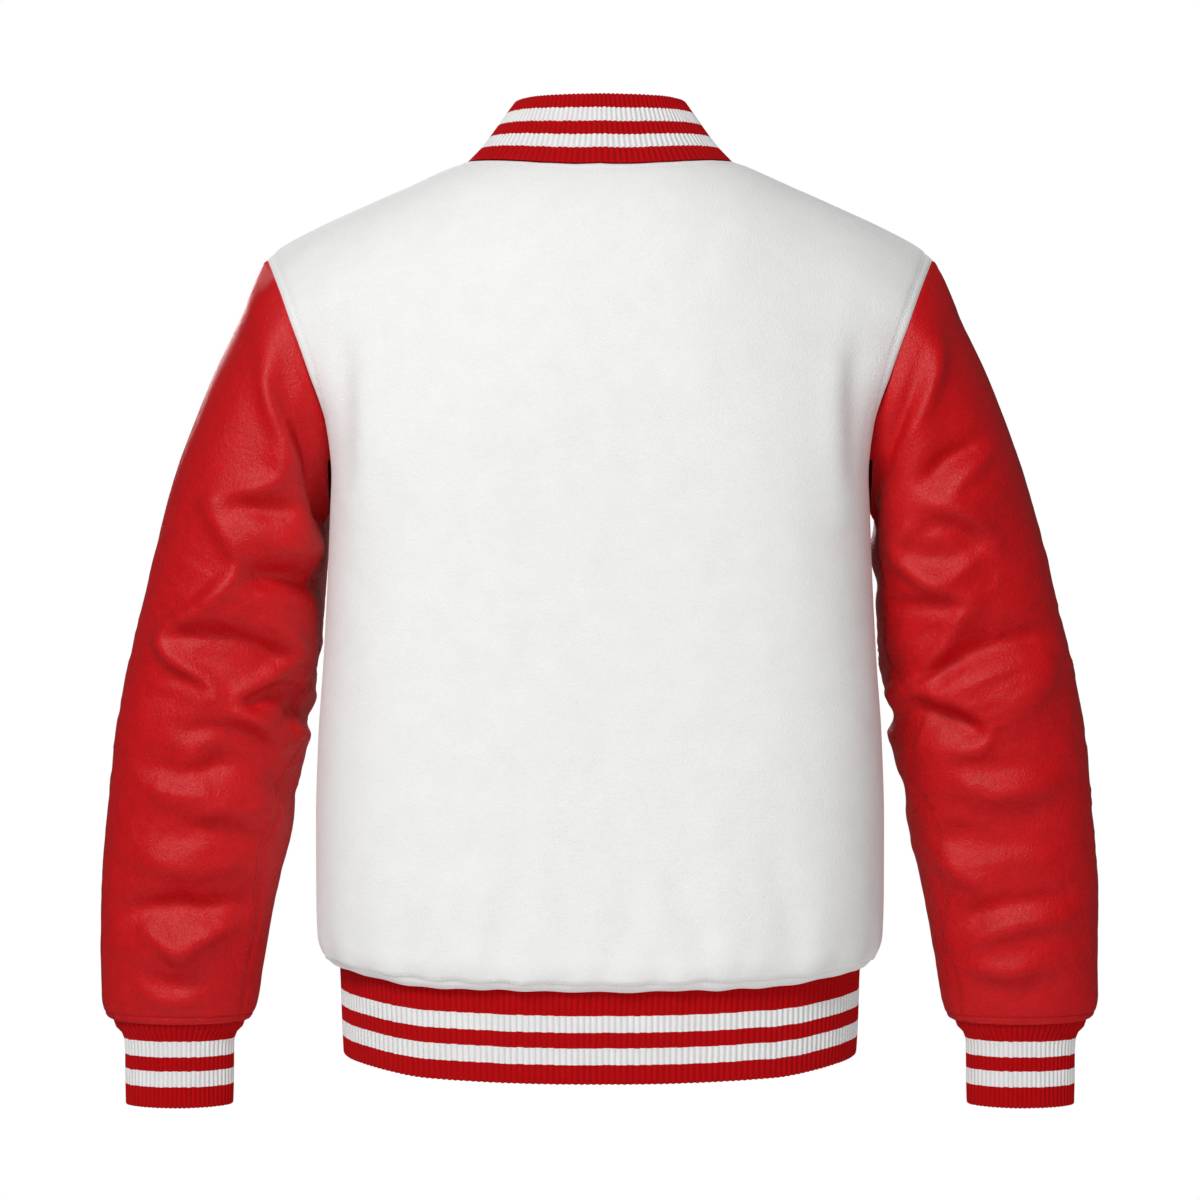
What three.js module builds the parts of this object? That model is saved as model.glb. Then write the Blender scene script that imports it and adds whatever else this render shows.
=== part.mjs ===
// A varsity jacket, hollow and filled out as when worn: a wool body of one back and two fronts, leather
// sleeves, and a striped rib-knit collar, hem band and cuffs. It closes at the front with snaps.
// Millimetres, +Z up, the front faces -Y. The origin is where the wearer's shoulders carry it: on the centre
// plane, level with the shoulder seams' inner ends.
import * as THREE from "three";

// Driving sizes
const WOOL = 2.4; // wall of the melton body
const LEATHER = 1.8; // wall of the sleeves
const KNIT = 3.4; // wall of the doubled rib knit, to the top of a rib
const RIB_DEPTH = 1.0; // from the top of a rib to its groove
const SEAM_GAP = 0.35; // between two pieces that are sewn together
const ARMHOLE_GAP = 0.6; // sideways between a sleeve and the body, as their cut edges twist round the armhole
const OVERLAP = 12; // how far each front passes the centre
const LAYER_GAP = 0.9; // between the two layers of the overlap
const TUCK_RAMP = 26; // the width over which the under layer goes in
const SIDE_SEAM_Y = 6; // the side seams run down the widest line of the body
const SHOULDER_X = 250; // centre to shoulder tip
const NECK_X = 100; // centre to the shoulder seam's inner end
const HEM_TOP = -600;
const HEM_BOTTOM = -667;
const CUFF_BOTTOM = -708.5;
const SNAP_RADIUS = 7.5;
const SNAP_HEIGHT = 2.6;
const SNAP_TOP = -106;
const SNAP_PITCH = 88;
const SNAP_COUNT = 7;

// How finely each piece is cut into facets
const NECK_COLUMNS = 6; // from the centre to the neck point
const SHOULDER_COLUMNS = 7; // from the neck point to the armhole or side seam
const ARMHOLE_ROWS = 11; // from the armpit to the shoulder tip
const BODY_ROWS = 8; // from the hem seam to the armpit
const SLEEVE_ROWS = 23;
const SIDE_CROWDING = 0.6; // how much closer the columns stand near the sides, from 0 to 1
const HEM_CROWDING = 1.7; // how much closer the rows stand near the hem seam, 1 being even
const RIBS_PER_FLAT = 3; // ribs over each plain facet of a knit's inside

// Horizontal sections of the body, from the hem seam to the armpit: half width, depth of back and front
const BODY = [
  { z: -600, half: 196.2, back: 135.2, front: 119.2, square: 2.7 },
  { z: -594, half: 204.8, back: 142.7, front: 126.2, square: 2.75 },
  { z: -579, half: 209.6, back: 146.7, front: 129.7, square: 2.8 },
  { z: -549, half: 210.4, back: 146.7, front: 129.7, square: 2.9 },
  { z: -490, half: 210.5, back: 143.7, front: 128.7, square: 3 },
  { z: -430, half: 208.8, back: 141.7, front: 128.2, square: 3.05 },
  { z: -371, half: 204.8, back: 139.7, front: 128.2, square: 3.1 },
  { z: -311, half: 201.8, back: 138.2, front: 128.2, square: 3.1 },
  { z: -262, half: 200, back: 137.2, front: 128.2, square: 3.1 },
];
const ARMPIT_Z = BODY[BODY.length - 1].z;

// The armhole from the armpit (rise 0) to the shoulder tip (rise 1), behind and in front
const ARMHOLE = {
  back: [
    { rise: 0, x: 200, y: 6, z: -262 },
    { rise: 0.16, x: 197.6, y: 32, z: -232 },
    { rise: 0.33, x: 200.4, y: 56, z: -199 },
    { rise: 0.5, x: 212, y: 69, z: -163 },
    { rise: 0.67, x: 224.5, y: 65, z: -128 },
    { rise: 0.84, x: 237.5, y: 39, z: -96 },
    { rise: 1, x: SHOULDER_X, y: -4, z: -70.5 },
  ],
  front: [
    { rise: 0, x: 200, y: 6, z: -262 },
    { rise: 0.16, x: 196.4, y: -22, z: -234 },
    { rise: 0.33, x: 197.5, y: -46, z: -203 },
    { rise: 0.5, x: 205, y: -61, z: -168 },
    { rise: 0.67, x: 218.5, y: -60, z: -133 },
    { rise: 0.84, x: 235, y: -39, z: -99 },
    { rise: 1, x: SHOULDER_X, y: -4, z: -70.5 },
  ],
};

// The line of the shoulder seam, carried on over the neck opening
const SHOULDER = [
  { x: 0, z: 12 },
  { x: 60, z: 8 },
  { x: 100, z: 0.6 },
  { x: 148.5, z: -18.9 },
  { x: 183, z: -33.6 },
  { x: 215, z: -48 },
  { x: 240, z: -61.6 },
  { x: SHOULDER_X, z: -70.5 },
];

// What differs between the back and the fronts: the side of the body, how round the chest curves over to the
// shoulder at the centre and near the armhole, and how far up the centre line the neck opening begins
const FACE = {
  back: { sign: 1, depth: "back", roundCentre: 2.7, roundOuter: 2.2, neckRise: 0.802 },
  front: { sign: -1, depth: "front", roundCentre: 1.9, roundOuter: 2, neckRise: 0.622 },
};
const RISE_EVENNESS = 1.6; // spaces the rows over the shoulder evenly

// Sections of the left sleeve from armhole to cuff seam: its outer and inner edge, the depth of its middle
// line, and how far it swells backwards and forwards from there. The right sleeve mirrors them
const SLEEVE = [
  { along: 0, outX: 250, outZ: -70.5, inX: 200, inZ: -262, midY: 1, back: 68, front: 62 },
  { along: 0.03, outX: 262, outZ: -83.3, inX: 201.6, inZ: -266, midY: 0, back: 72.1, front: 67.1 },
  { along: 0.08, outX: 274, outZ: -109.6, inX: 201.8, inZ: -279, midY: -2, back: 76.8, front: 71.8 },
  { along: 0.16, outX: 291.8, outZ: -151.6, inX: 203.4, inZ: -301, midY: -4, back: 80.8, front: 76.8 },
  { along: 0.25, outX: 309.1, outZ: -201.6, inX: 204.6, inZ: -325, midY: -6, back: 81.8, front: 78.8 },
  { along: 0.34, outX: 324.9, outZ: -251.6, inX: 206.3, inZ: -349, midY: -8, back: 78.8, front: 77.8 },
  { along: 0.43, outX: 338.6, outZ: -301.6, inX: 208.9, inZ: -373, midY: -9, back: 74.8, front: 74.8 },
  { along: 0.52, outX: 350.9, outZ: -351.6, inX: 215.1, inZ: -399, midY: -11, back: 70.8, front: 69.8 },
  { along: 0.61, outX: 361.8, outZ: -402.6, inX: 220.8, inZ: -433, midY: -13, back: 67.8, front: 65.8 },
  { along: 0.7, outX: 369.8, outZ: -454.6, inX: 229.2, inZ: -475, midY: -16, back: 63.8, front: 61.8 },
  { along: 0.79, outX: 374.4, outZ: -505.6, inX: 238.1, inZ: -521, midY: -20, back: 58.8, front: 56.8 },
  { along: 0.87, outX: 378, outZ: -553.6, inX: 248.6, inZ: -565, midY: -24, back: 52.8, front: 51.8 },
  { along: 0.93, outX: 378.7, outZ: -595.6, inX: 255.5, inZ: -602, midY: -27, back: 46.8, front: 45.8 },
  { along: 0.97, outX: 378.7, outZ: -626, inX: 259.8, inZ: -629, midY: -29, back: 40.8, front: 39.8 },
  { along: 0.99, outX: 376.4, outZ: -638.8, inX: 263.2, inZ: -640, midY: -30, back: 37.8, front: 36.8 },
  { along: 1, outX: 371.2, outZ: -644.4, inX: 267.2, inZ: -645, midY: -30, back: 35.3, front: 34.3 },
];
const ARMHOLE_FADE = 0.3; // the share of the sleeve over which the armhole's shape passes into a tube
const BODY_CLEARANCE = 4; // between the hanging sleeve and the body
const ARMPIT_REACH = 40; // how far above the armpit the sleeve is still held off the body
const PUSH_SOFTNESS = 6; // over which the sleeve starts to be held off

// The cuff, from the leather's edge down to its folded bottom edge
const CUFF = [
  { z: -646.2, half: 48, depth: 31.5 },
  { z: -653, half: 41.6, depth: 27.4 },
  { z: CUFF_BOTTOM, half: 40.8, depth: 26.6 },
];
const CUFF_X = 319.4;
const CUFF_Y = -30;
const CUFF_RIBS = 60;

// The hem band, from the wool's edge down
const HEM = [
  { z: HEM_TOP - SEAM_GAP, half: 193.4, back: 132.6, front: 116.8 },
  { z: HEM_BOTTOM, half: 190.4, back: 132, front: 114.6 },
];
const HEM_SQUARE = 2.65;
const HEM_RIBS = 252;

// The collar's top edge, by the angle round the neck from the centre back (0) to the centre front (180)
const COLLAR_TOP = [
  { turn: 0, x: 0, y: 50, z: 46.8 },
  { turn: 45, x: 47, y: 37, z: 47.2 },
  { turn: 90, x: 64, y: 2, z: 47.5 },
  { turn: 120, x: 56, y: -30, z: 27 },
  { turn: 150, x: 33.5, y: -54, z: -13 },
  { turn: 180, x: 0, y: -64, z: -36 },
];
// How the collar's height is spread between its seam (0) and its top (1), how far it sinks inwards there, and
// how deep its ribs are: the seam presses them flat and the fold at the top draws them together
const COLLAR_ROWS = [
  { up: 0, sink: 0, ribs: 0 },
  { up: 0.36, sink: 2, ribs: RIB_DEPTH },
  { up: 1, sink: 0.8, ribs: 0.3 },
];
const COLLAR_RIBS = 140;
const COLLAR_END_GAP = 2; // each end stops this far from the centre front
const COLLAR_CORNER = 30; // length of the rounded corner at each end
const COLLAR_END_HEIGHT = 0.45; // the height left at the very end, as a share
// How far the collar stands off its seam, and how much more at its ends, over the tucked right front
const COLLAR_EASE = 0.55;
const END_EASE = 0.8;

// Where the eye stands behind the jacket, from which the creases and folds below are drawn
const EYE_DISTANCE = 2350;
const EYE_Z = -326;

// The main creases of each leather sleeve. Each is a stroke on the back or front of the sleeve, drawn as seen
// from behind from one end over a bend to the other end: its height is the ridge's, or a trough's if below 0
const CREASES = {
  left: [
    { side: 1, fromX: 243, fromZ: -120, bendX: 236, bendZ: -190, toX: 226, toZ: -268, wide: 15, high: 5 },
    { side: 1, fromX: 226, fromZ: -150, bendX: 216, bendZ: -200, toX: 208, toZ: -262, wide: 13, high: -4.5 },
    { side: 1, fromX: 268, fromZ: -272, bendX: 244, bendZ: -288, toX: 214, toZ: -268, wide: 16, high: 4.5 },
    { side: 1, fromX: 272, fromZ: -305, bendX: 240, bendZ: -308, toX: 212, toZ: -312, wide: 14, high: -4 },
    { side: 1, fromX: 322, fromZ: -362, bendX: 290, bendZ: -335, toX: 262, toZ: -322, wide: 15, high: 5 },
    { side: 1, fromX: 318, fromZ: -368, bendX: 270, bendZ: -370, toX: 222, toZ: -384, wide: 16, high: -5.5 },
    { side: 1, fromX: 322, fromZ: -366, bendX: 300, bendZ: -400, toX: 280, toZ: -412, wide: 13, high: 5 },
    { side: 1, fromX: 346, fromZ: -398, bendX: 314, bendZ: -396, toX: 288, toZ: -408, wide: 13, high: -3.5 },
    { side: 1, fromX: 262, fromZ: -420, bendX: 238, bendZ: -404, toX: 222, toZ: -402, wide: 12, high: 4.5 },
    { side: 1, fromX: 312, fromZ: -462, bendX: 306, bendZ: -440, toX: 280, toZ: -416, wide: 13, high: 4.5 },
    { side: 1, fromX: 304, fromZ: -448, bendX: 270, bendZ: -446, toX: 238, toZ: -458, wide: 15, high: -5 },
    { side: 1, fromX: 300, fromZ: -482, bendX: 262, bendZ: -484, toX: 240, toZ: -464, wide: 14, high: 3.5 },
    { side: 1, fromX: 348, fromZ: -512, bendX: 318, bendZ: -520, toX: 292, toZ: -506, wide: 15, high: 3.5 },
    { side: 1, fromX: 352, fromZ: -566, bendX: 316, bendZ: -560, toX: 278, toZ: -556, wide: 15, high: -4 },
    { side: 1, fromX: 354, fromZ: -582, bendX: 328, bendZ: -590, toX: 290, toZ: -572, wide: 16, high: 4 },
    { side: -1, fromX: 246, fromZ: -130, bendX: 238, bendZ: -200, toX: 224, toZ: -280, wide: 15, high: 4.5 },
    { side: -1, fromX: 324, fromZ: -320, bendX: 280, bendZ: -345, toX: 226, toZ: -352, wide: 17, high: -5 },
    { side: -1, fromX: 334, fromZ: -352, bendX: 300, bendZ: -372, toX: 246, toZ: -390, wide: 15, high: 5 },
    { side: -1, fromX: 348, fromZ: -412, bendX: 300, bendZ: -420, toX: 244, toZ: -440, wide: 16, high: -5 },
    { side: -1, fromX: 344, fromZ: -455, bendX: 310, bendZ: -462, toX: 262, toZ: -448, wide: 15, high: 4 },
    { side: -1, fromX: 352, fromZ: -530, bendX: 316, bendZ: -545, toX: 270, toZ: -540, wide: 16, high: -4 },
    { side: -1, fromX: 350, fromZ: -580, bendX: 318, bendZ: -585, toX: 282, toZ: -575, wide: 15, high: 3.5 },
  ],
  right: [
    { side: 1, fromX: 240, fromZ: -128, bendX: 246, bendZ: -190, toX: 218, toZ: -252, wide: 14, high: 5 },
    { side: 1, fromX: 232, fromZ: -165, bendX: 222, bendZ: -205, toX: 208, toZ: -258, wide: 14, high: -4.5 },
    { side: 1, fromX: 296, fromZ: -238, bendX: 266, bendZ: -266, toX: 228, toZ: -262, wide: 17, high: 4.5 },
    { side: 1, fromX: 300, fromZ: -306, bendX: 262, bendZ: -288, toX: 222, toZ: -308, wide: 15, high: -4.5 },
    { side: 1, fromX: 272, fromZ: -340, bendX: 248, bendZ: -328, toX: 222, toZ: -330, wide: 14, high: 4 },
    { side: 1, fromX: 300, fromZ: -348, bendX: 258, bendZ: -352, toX: 226, toZ: -344, wide: 14, high: -4 },
    { side: 1, fromX: 330, fromZ: -362, bendX: 288, bendZ: -366, toX: 246, toZ: -382, wide: 16, high: -5 },
    { side: 1, fromX: 338, fromZ: -372, bendX: 316, bendZ: -396, toX: 270, toZ: -402, wide: 17, high: 5 },
    { side: 1, fromX: 290, fromZ: -428, bendX: 262, bendZ: -416, toX: 230, toZ: -414, wide: 13, high: -5 },
    { side: 1, fromX: 296, fromZ: -442, bendX: 270, bendZ: -448, toX: 246, toZ: -436, wide: 14, high: 3.5 },
    { side: 1, fromX: 346, fromZ: -442, bendX: 318, bendZ: -454, toX: 296, toZ: -470, wide: 14, high: 3.5 },
    { side: 1, fromX: 334, fromZ: -488, bendX: 304, bendZ: -494, toX: 272, toZ: -500, wide: 15, high: -3.5 },
    { side: 1, fromX: 342, fromZ: -508, bendX: 312, bendZ: -518, toX: 278, toZ: -510, wide: 15, high: 3.5 },
    { side: 1, fromX: 350, fromZ: -546, bendX: 322, bendZ: -556, toX: 284, toZ: -560, wide: 15, high: 3.5 },
    { side: 1, fromX: 346, fromZ: -592, bendX: 318, bendZ: -606, toX: 284, toZ: -594, wide: 14, high: 3.5 },
    { side: -1, fromX: 242, fromZ: -125, bendX: 244, bendZ: -190, toX: 224, toZ: -270, wide: 15, high: 4.5 },
    { side: -1, fromX: 320, fromZ: -310, bendX: 276, bendZ: -335, toX: 226, toZ: -345, wide: 17, high: -5 },
    { side: -1, fromX: 336, fromZ: -350, bendX: 298, bendZ: -366, toX: 246, toZ: -384, wide: 15, high: 5 },
    { side: -1, fromX: 350, fromZ: -402, bendX: 304, bendZ: -412, toX: 240, toZ: -428, wide: 16, high: -5 },
    { side: -1, fromX: 344, fromZ: -448, bendX: 306, bendZ: -458, toX: 258, toZ: -440, wide: 15, high: 4 },
    { side: -1, fromX: 352, fromZ: -522, bendX: 314, bendZ: -536, toX: 270, toZ: -530, wide: 16, high: -4 },
    { side: -1, fromX: 350, fromZ: -576, bendX: 316, bendZ: -582, toX: 280, toZ: -570, wide: 15, high: 3.5 },
  ],
};

// The soft folds of the wool, written as the creases are and laid over both halves of the body
const DRAPES = [
  { side: 1, fromX: 192, fromZ: -140, bendX: 190, bendZ: -185, toX: 190, toZ: -240, wide: 11, high: -2.5 },
  { side: 1, fromX: 180, fromZ: -150, bendX: 180, bendZ: -200, toX: 184, toZ: -260, wide: 13, high: 2 },
  { side: -1, fromX: 186, fromZ: -140, bendX: 184, bendZ: -190, toX: 186, toZ: -250, wide: 12, high: -2.5 },
  { side: 1, fromX: 150, fromZ: -598, bendX: 146, bendZ: -570, toX: 128, toZ: -520, wide: 14, high: -2 },
  { side: 1, fromX: 74, fromZ: -598, bendX: 72, bendZ: -575, toX: 60, toZ: -535, wide: 13, high: -2 },
  { side: 1, fromX: 22, fromZ: -598, bendX: 24, bendZ: -570, toX: 30, toZ: -530, wide: 14, high: -1.8 },
  { side: -1, fromX: 120, fromZ: -598, bendX: 118, bendZ: -570, toX: 104, toZ: -528, wide: 14, high: -2 },
  { side: -1, fromX: 60, fromZ: -598, bendX: 62, bendZ: -575, toX: 70, toZ: -540, wide: 13, high: -2 },
];
const GATHERS = 34; // small waves of the wool where the hem band draws it in, all round
const GATHER_HEIGHT = 1.3;
const GATHER_REACH = 26; // how far up they fade

const clamp = THREE.MathUtils.clamp;
const lerp = THREE.MathUtils.lerp;
const smoothstep = THREE.MathUtils.smoothstep;
const radians = THREE.MathUtils.degToRad;

// The slope of a curve through table rows at row i, flat at a turning point so that it never overshoots
function slopeAt(rows, by, key, i) {
  const step = (k) => (rows[k + 1][key] - rows[k][key]) / (rows[k + 1][by] - rows[k][by]);
  if (i === 0) return step(0);
  if (i === rows.length - 1) return step(i - 1);
  const before = step(i - 1);
  const after = step(i);
  return before * after <= 0 ? 0 : (2 * before * after) / (before + after);
}

// The value of column `key` where column `by`, which rises down the table, is `at`
function read(rows, by, key, at) {
  let i = rows.findIndex((row) => row[by] > at) - 1;
  if (i < 0) i = at <= rows[0][by] ? 0 : rows.length - 2;
  const span = rows[i + 1][by] - rows[i][by];
  const t = clamp((at - rows[i][by]) / span, 0, 1);
  const from = slopeAt(rows, by, key, i) * span;
  const to = slopeAt(rows, by, key, i + 1) * span;
  const rest = 1 - t;
  return (
    rows[i][key] * (1 + 2 * t) * rest * rest +
    from * t * rest * rest +
    rows[i + 1][key] * t * t * (3 - 2 * t) -
    to * t * t * rest
  );
}

function readPoint(rows, by, at) {
  return new THREE.Vector3(read(rows, by, "x", at), read(rows, by, "y", at), read(rows, by, "z", at));
}

// How high a set of strokes lifts a point of the cloth, by where the eye sees that point from behind
function strokesAt(strokes, side, point) {
  const nearer = EYE_DISTANCE / (EYE_DISTANCE - point.y);
  const x = Math.abs(point.x) * nearer;
  const z = EYE_Z + (point.z - EYE_Z) * nearer;
  let lift = 0;
  for (const stroke of strokes) {
    if (stroke.side !== side) continue;
    let nearest = Infinity;
    let place = 0;
    const steps = 12;
    for (let k = 0; k <= steps; k++) {
      const t = k / steps;
      const a = (1 - t) * (1 - t);
      const b = 2 * t * (1 - t);
      const dx = a * stroke.fromX + b * stroke.bendX + t * t * stroke.toX - x;
      const dz = a * stroke.fromZ + b * stroke.bendZ + t * t * stroke.toZ - z;
      const distance = Math.hypot(dx, dz);
      if (distance < nearest) {
        nearest = distance;
        place = t;
      }
    }
    const fade = Math.sin(Math.PI * lerp(0.16, 0.84, place));
    lift += stroke.high * fade * Math.exp(-((nearest / stroke.wide) ** 2));
  }
  return lift;
}

// A superellipse's height over its long axis, 1 at the middle and 0 at the end
function bow(u, square, steep = square) {
  return Math.pow(Math.max(0, 1 - Math.pow(Math.abs(u), square)), 1 / steep);
}

// A point of the body between the hem seam and the armpit: u runs from -1 to 1 across the panel
function lowerBody(face, u, z) {
  const { sign, depth } = FACE[face];
  const half = read(BODY, "z", "half", z);
  const middle = sign * read(BODY, "z", depth, z);
  const y = lerp(SIDE_SEAM_Y, middle, bow(u, read(BODY, "z", "square", z)));
  return new THREE.Vector3(u * half, y, z);
}

// A point of the body between the armpit (rise 0) and the shoulder seam (rise 1)
function upperBody(face, u, rise) {
  const { sign, depth, roundCentre, roundOuter } = FACE[face];
  const edge = readPoint(ARMHOLE[face], "rise", rise);
  const across = Math.abs(u);
  const bottom = BODY[BODY.length - 1];
  const angle = radians(90 * Math.pow(rise, RISE_EVENNESS));
  const round = lerp(roundCentre, roundOuter, smoothstep(across, 0.1, 0.75));
  const climb = Math.pow(Math.sin(angle), 2 / round);
  const inward = Math.pow(Math.max(0, Math.cos(angle)), 2 / round);
  const outerClimb = Math.pow(Math.sin(angle), 2 / roundOuter);
  const ridge = read(SHOULDER, "x", "z", across * SHOULDER_X);
  const outer = ARMPIT_Z + (ARMHOLE[face][ARMHOLE[face].length - 1].z - ARMPIT_Z) * outerClimb;
  const z = ARMPIT_Z + (ridge - ARMPIT_Z) * climb + (edge.z - outer) * Math.pow(across, 4);
  const steep = lerp(bottom.square, 1.15, smoothstep(rise, 0.05, 0.55));
  const full = bow(u, bottom.square, steep);
  const y = lerp(edge.y, sign * bottom[depth] * inward, full);
  return new THREE.Vector3(u * edge.x, y, z);
}

// The highest rise that a column of the body reaches: 1 at the shoulder seam, less round the neck opening
const NECK_U = NECK_X / SHOULDER_X;
function topRise(face, u) {
  const across = Math.abs(u) / NECK_U;
  return across >= 1 ? 1 : 1 - (1 - FACE[face].neckRise) * Math.sqrt(1 - across * across);
}

// A point of the body's smooth form. level runs from -1 at the hem seam over 0 at the armpit to 1 at the top
function bodyForm(face, u, level) {
  if (level <= 0) return lowerBody(face, u, lerp(ARMPIT_Z, HEM_TOP, -level));
  return upperBody(face, u, level * topRise(face, u));
}

// The outward normal of a surface given by a function of two values
function normalOf(surface, a, b, sign) {
  const step = 1e-3;
  const alongA = surface(a + step, b).sub(surface(a - step, b));
  const alongB = surface(a, b + step).sub(surface(a, b - step));
  return alongB.cross(alongA).normalize().multiplyScalar(sign);
}

// The body's outer surface with its soft folds and with the gathers above the hem band
function bodyOuter(face, u, level) {
  const inside = clamp(level, -0.998, 0.998);
  const reach = Math.abs(u) > 0.996 ? 0.996 * Math.sign(u) : u;
  const point = bodyForm(face, u, level);
  const normal = normalOf((a, b) => bodyForm(face, a, b), reach, inside, FACE[face].sign);
  const onSeam = Math.abs(u) > 0.996 || (level > 0.99 && Math.abs(u) >= NECK_U);
  if (onSeam) normal.setY(0).normalize();
  const sideFade = smoothstep(1 - Math.abs(u), 0, 0.03);
  const centreFade = face === "front" ? smoothstep(Math.abs(point.x), OVERLAP + 4, OVERLAP + 32) : 1;
  const topFade = 1 - smoothstep(level, 0.85, 1);
  const above = point.z - HEM_TOP;
  const wave = Math.cos((GATHERS * Math.atan2(point.y, point.x * 0.8)) + 1.3 * Math.sin(point.x / 31));
  const gather = GATHER_HEIGHT * wave * Math.exp(-above / GATHER_REACH) * smoothstep(above, 1, 9);
  const drape = strokesAt(DRAPES, FACE[face].sign, point);
  const lift = (drape + gather) * sideFade * centreFade * topFade;
  return { point: point.addScaledVector(normal, lift), normal };
}

// The middle of the armhole, towards which its cut edges face
const ARMHOLE_MIDDLE = new THREE.Vector3(222, 2, -166);
function armholeInward(face, rise) {
  const point = readPoint(ARMHOLE[face], "rise", rise);
  const before = readPoint(ARMHOLE[face], "rise", clamp(rise - 0.01, 0, 1));
  const after = readPoint(ARMHOLE[face], "rise", clamp(rise + 0.01, 0, 1));
  const tangent = after.sub(before).normalize();
  const inward = ARMHOLE_MIDDLE.clone().sub(point);
  if (rise < 0.02 || rise > 0.98) inward.setY(0);
  else inward.addScaledVector(tangent, -inward.dot(tangent));
  return inward.normalize();
}

// The neck opening's edge by the angle round the neck from the centre back (0) to the centre front (180)
function neckEdge(turn) {
  return bodyForm(turn < 90 ? "back" : "front", NECK_U * Math.sin(radians(turn)), 1);
}

// The direction from the outside to the inside of the wall at the neck seam, square to that seam
const NECK_LEAN = 47; // degrees below level
function neckInward(turn) {
  const point = neckEdge(turn);
  const tangent = neckEdge(turn + 2).sub(neckEdge(turn - 2)).normalize();
  const inward = new THREE.Vector3(-point.x, -point.y, 0).normalize();
  inward.multiplyScalar(Math.cos(radians(NECK_LEAN))).setZ(-Math.sin(radians(NECK_LEAN)));
  return inward.addScaledVector(tangent, -inward.dot(tangent)).normalize();
}

// Columns across a panel from the centre to the side, closer where the neck and the side curve most
function columns() {
  const found = [];
  for (let k = 0; k < NECK_COLUMNS; k++) found.push(NECK_U * Math.sin(radians((90 * k) / NECK_COLUMNS)));
  for (let k = 0; k <= SHOULDER_COLUMNS; k++) {
    const t = k / SHOULDER_COLUMNS;
    found.push(lerp(NECK_U, 1, lerp(t, Math.sin(radians(90 * t)), SIDE_CROWDING)));
  }
  return found;
}

// Levels up a panel: closer together where the wool rolls in over the hem band
function levels() {
  const found = [];
  for (let k = 0; k < BODY_ROWS; k++) found.push(-1 + Math.pow(k / BODY_ROWS, HEM_CROWDING));
  for (let k = 0; k <= ARMHOLE_ROWS; k++) found.push(k / ARMHOLE_ROWS);
  return found;
}

// The outer and inner points of one spot of a body panel, drawn back from its neighbours at the seams
function bodySpot(face, u, level, tuck) {
  const sign = FACE[face].sign;
  const across = Math.abs(u);
  const { point, normal } = bodyOuter(face, u, level);
  if (level === -1) normal.setZ(0).normalize();
  point.addScaledVector(normal, -tuck);
  const inward = normal.clone().negate();
  const onNeck = level === 1 && across <= NECK_U;
  if (across === 1) {
    if (level <= 0) inward.set(-Math.sign(u), 0, 0);
    if (level >= 0) {
      const toMiddle = armholeInward(face, level);
      toMiddle.x *= Math.sign(u);
      inward.lerp(toMiddle, smoothstep(level, 0.05, 0.5)).normalize();
    }
  } else if (onNeck) {
    const turn = THREE.MathUtils.radToDeg(Math.asin(across / NECK_U));
    inward.copy(neckInward(face === "back" ? turn : 180 - turn));
    inward.x *= Math.sign(u) || 1;
  }
  const half = SEAM_GAP / 2;
  if (across === 1 || (level === 1 && across >= NECK_U)) point.y += sign * half;
  return [point, point.clone().addScaledVector(inward, WOOL)];
}

// A closed wall between two grids of points that have the same rows and columns. A round wall's last column
// joins its first. Each facet is split along its shorter diagonal, the same on both sides of the wall
function wall(outer, inner, round = false) {
  const rows = outer.length;
  const count = outer[0].length;
  const triangles = [];
  const quad = (a, b, c, d) => triangles.push(a, b, c, a, c, d);
  const last = round ? count : count - 1;
  for (let j = 0; j < last; j++) {
    const k = (j + 1) % count;
    quad(outer[0][j], inner[0][j], inner[0][k], outer[0][k]);
    quad(outer[rows - 1][j], outer[rows - 1][k], inner[rows - 1][k], inner[rows - 1][j]);
  }
  for (let i = 0; i + 1 < rows; i++) {
    for (let j = 0; j < last; j++) {
      const k = (j + 1) % count;
      const rising = outer[i][j].distanceTo(outer[i + 1][k]);
      const falling = outer[i][k].distanceTo(outer[i + 1][j]);
      if (rising < falling) {
        quad(outer[i][j], outer[i][k], outer[i + 1][k], outer[i + 1][j]);
        quad(inner[i][j], inner[i + 1][j], inner[i + 1][k], inner[i][k]);
      } else {
        quad(outer[i][k], outer[i + 1][k], outer[i + 1][j], outer[i][j]);
        quad(inner[i][k], inner[i][j], inner[i + 1][j], inner[i + 1][k]);
      }
    }
    if (round) continue;
    quad(outer[i][0], outer[i + 1][0], inner[i + 1][0], inner[i][0]);
    quad(outer[i][last], inner[i][last], inner[i + 1][last], outer[i + 1][last]);
  }
  return solid(triangles);
}

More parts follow.
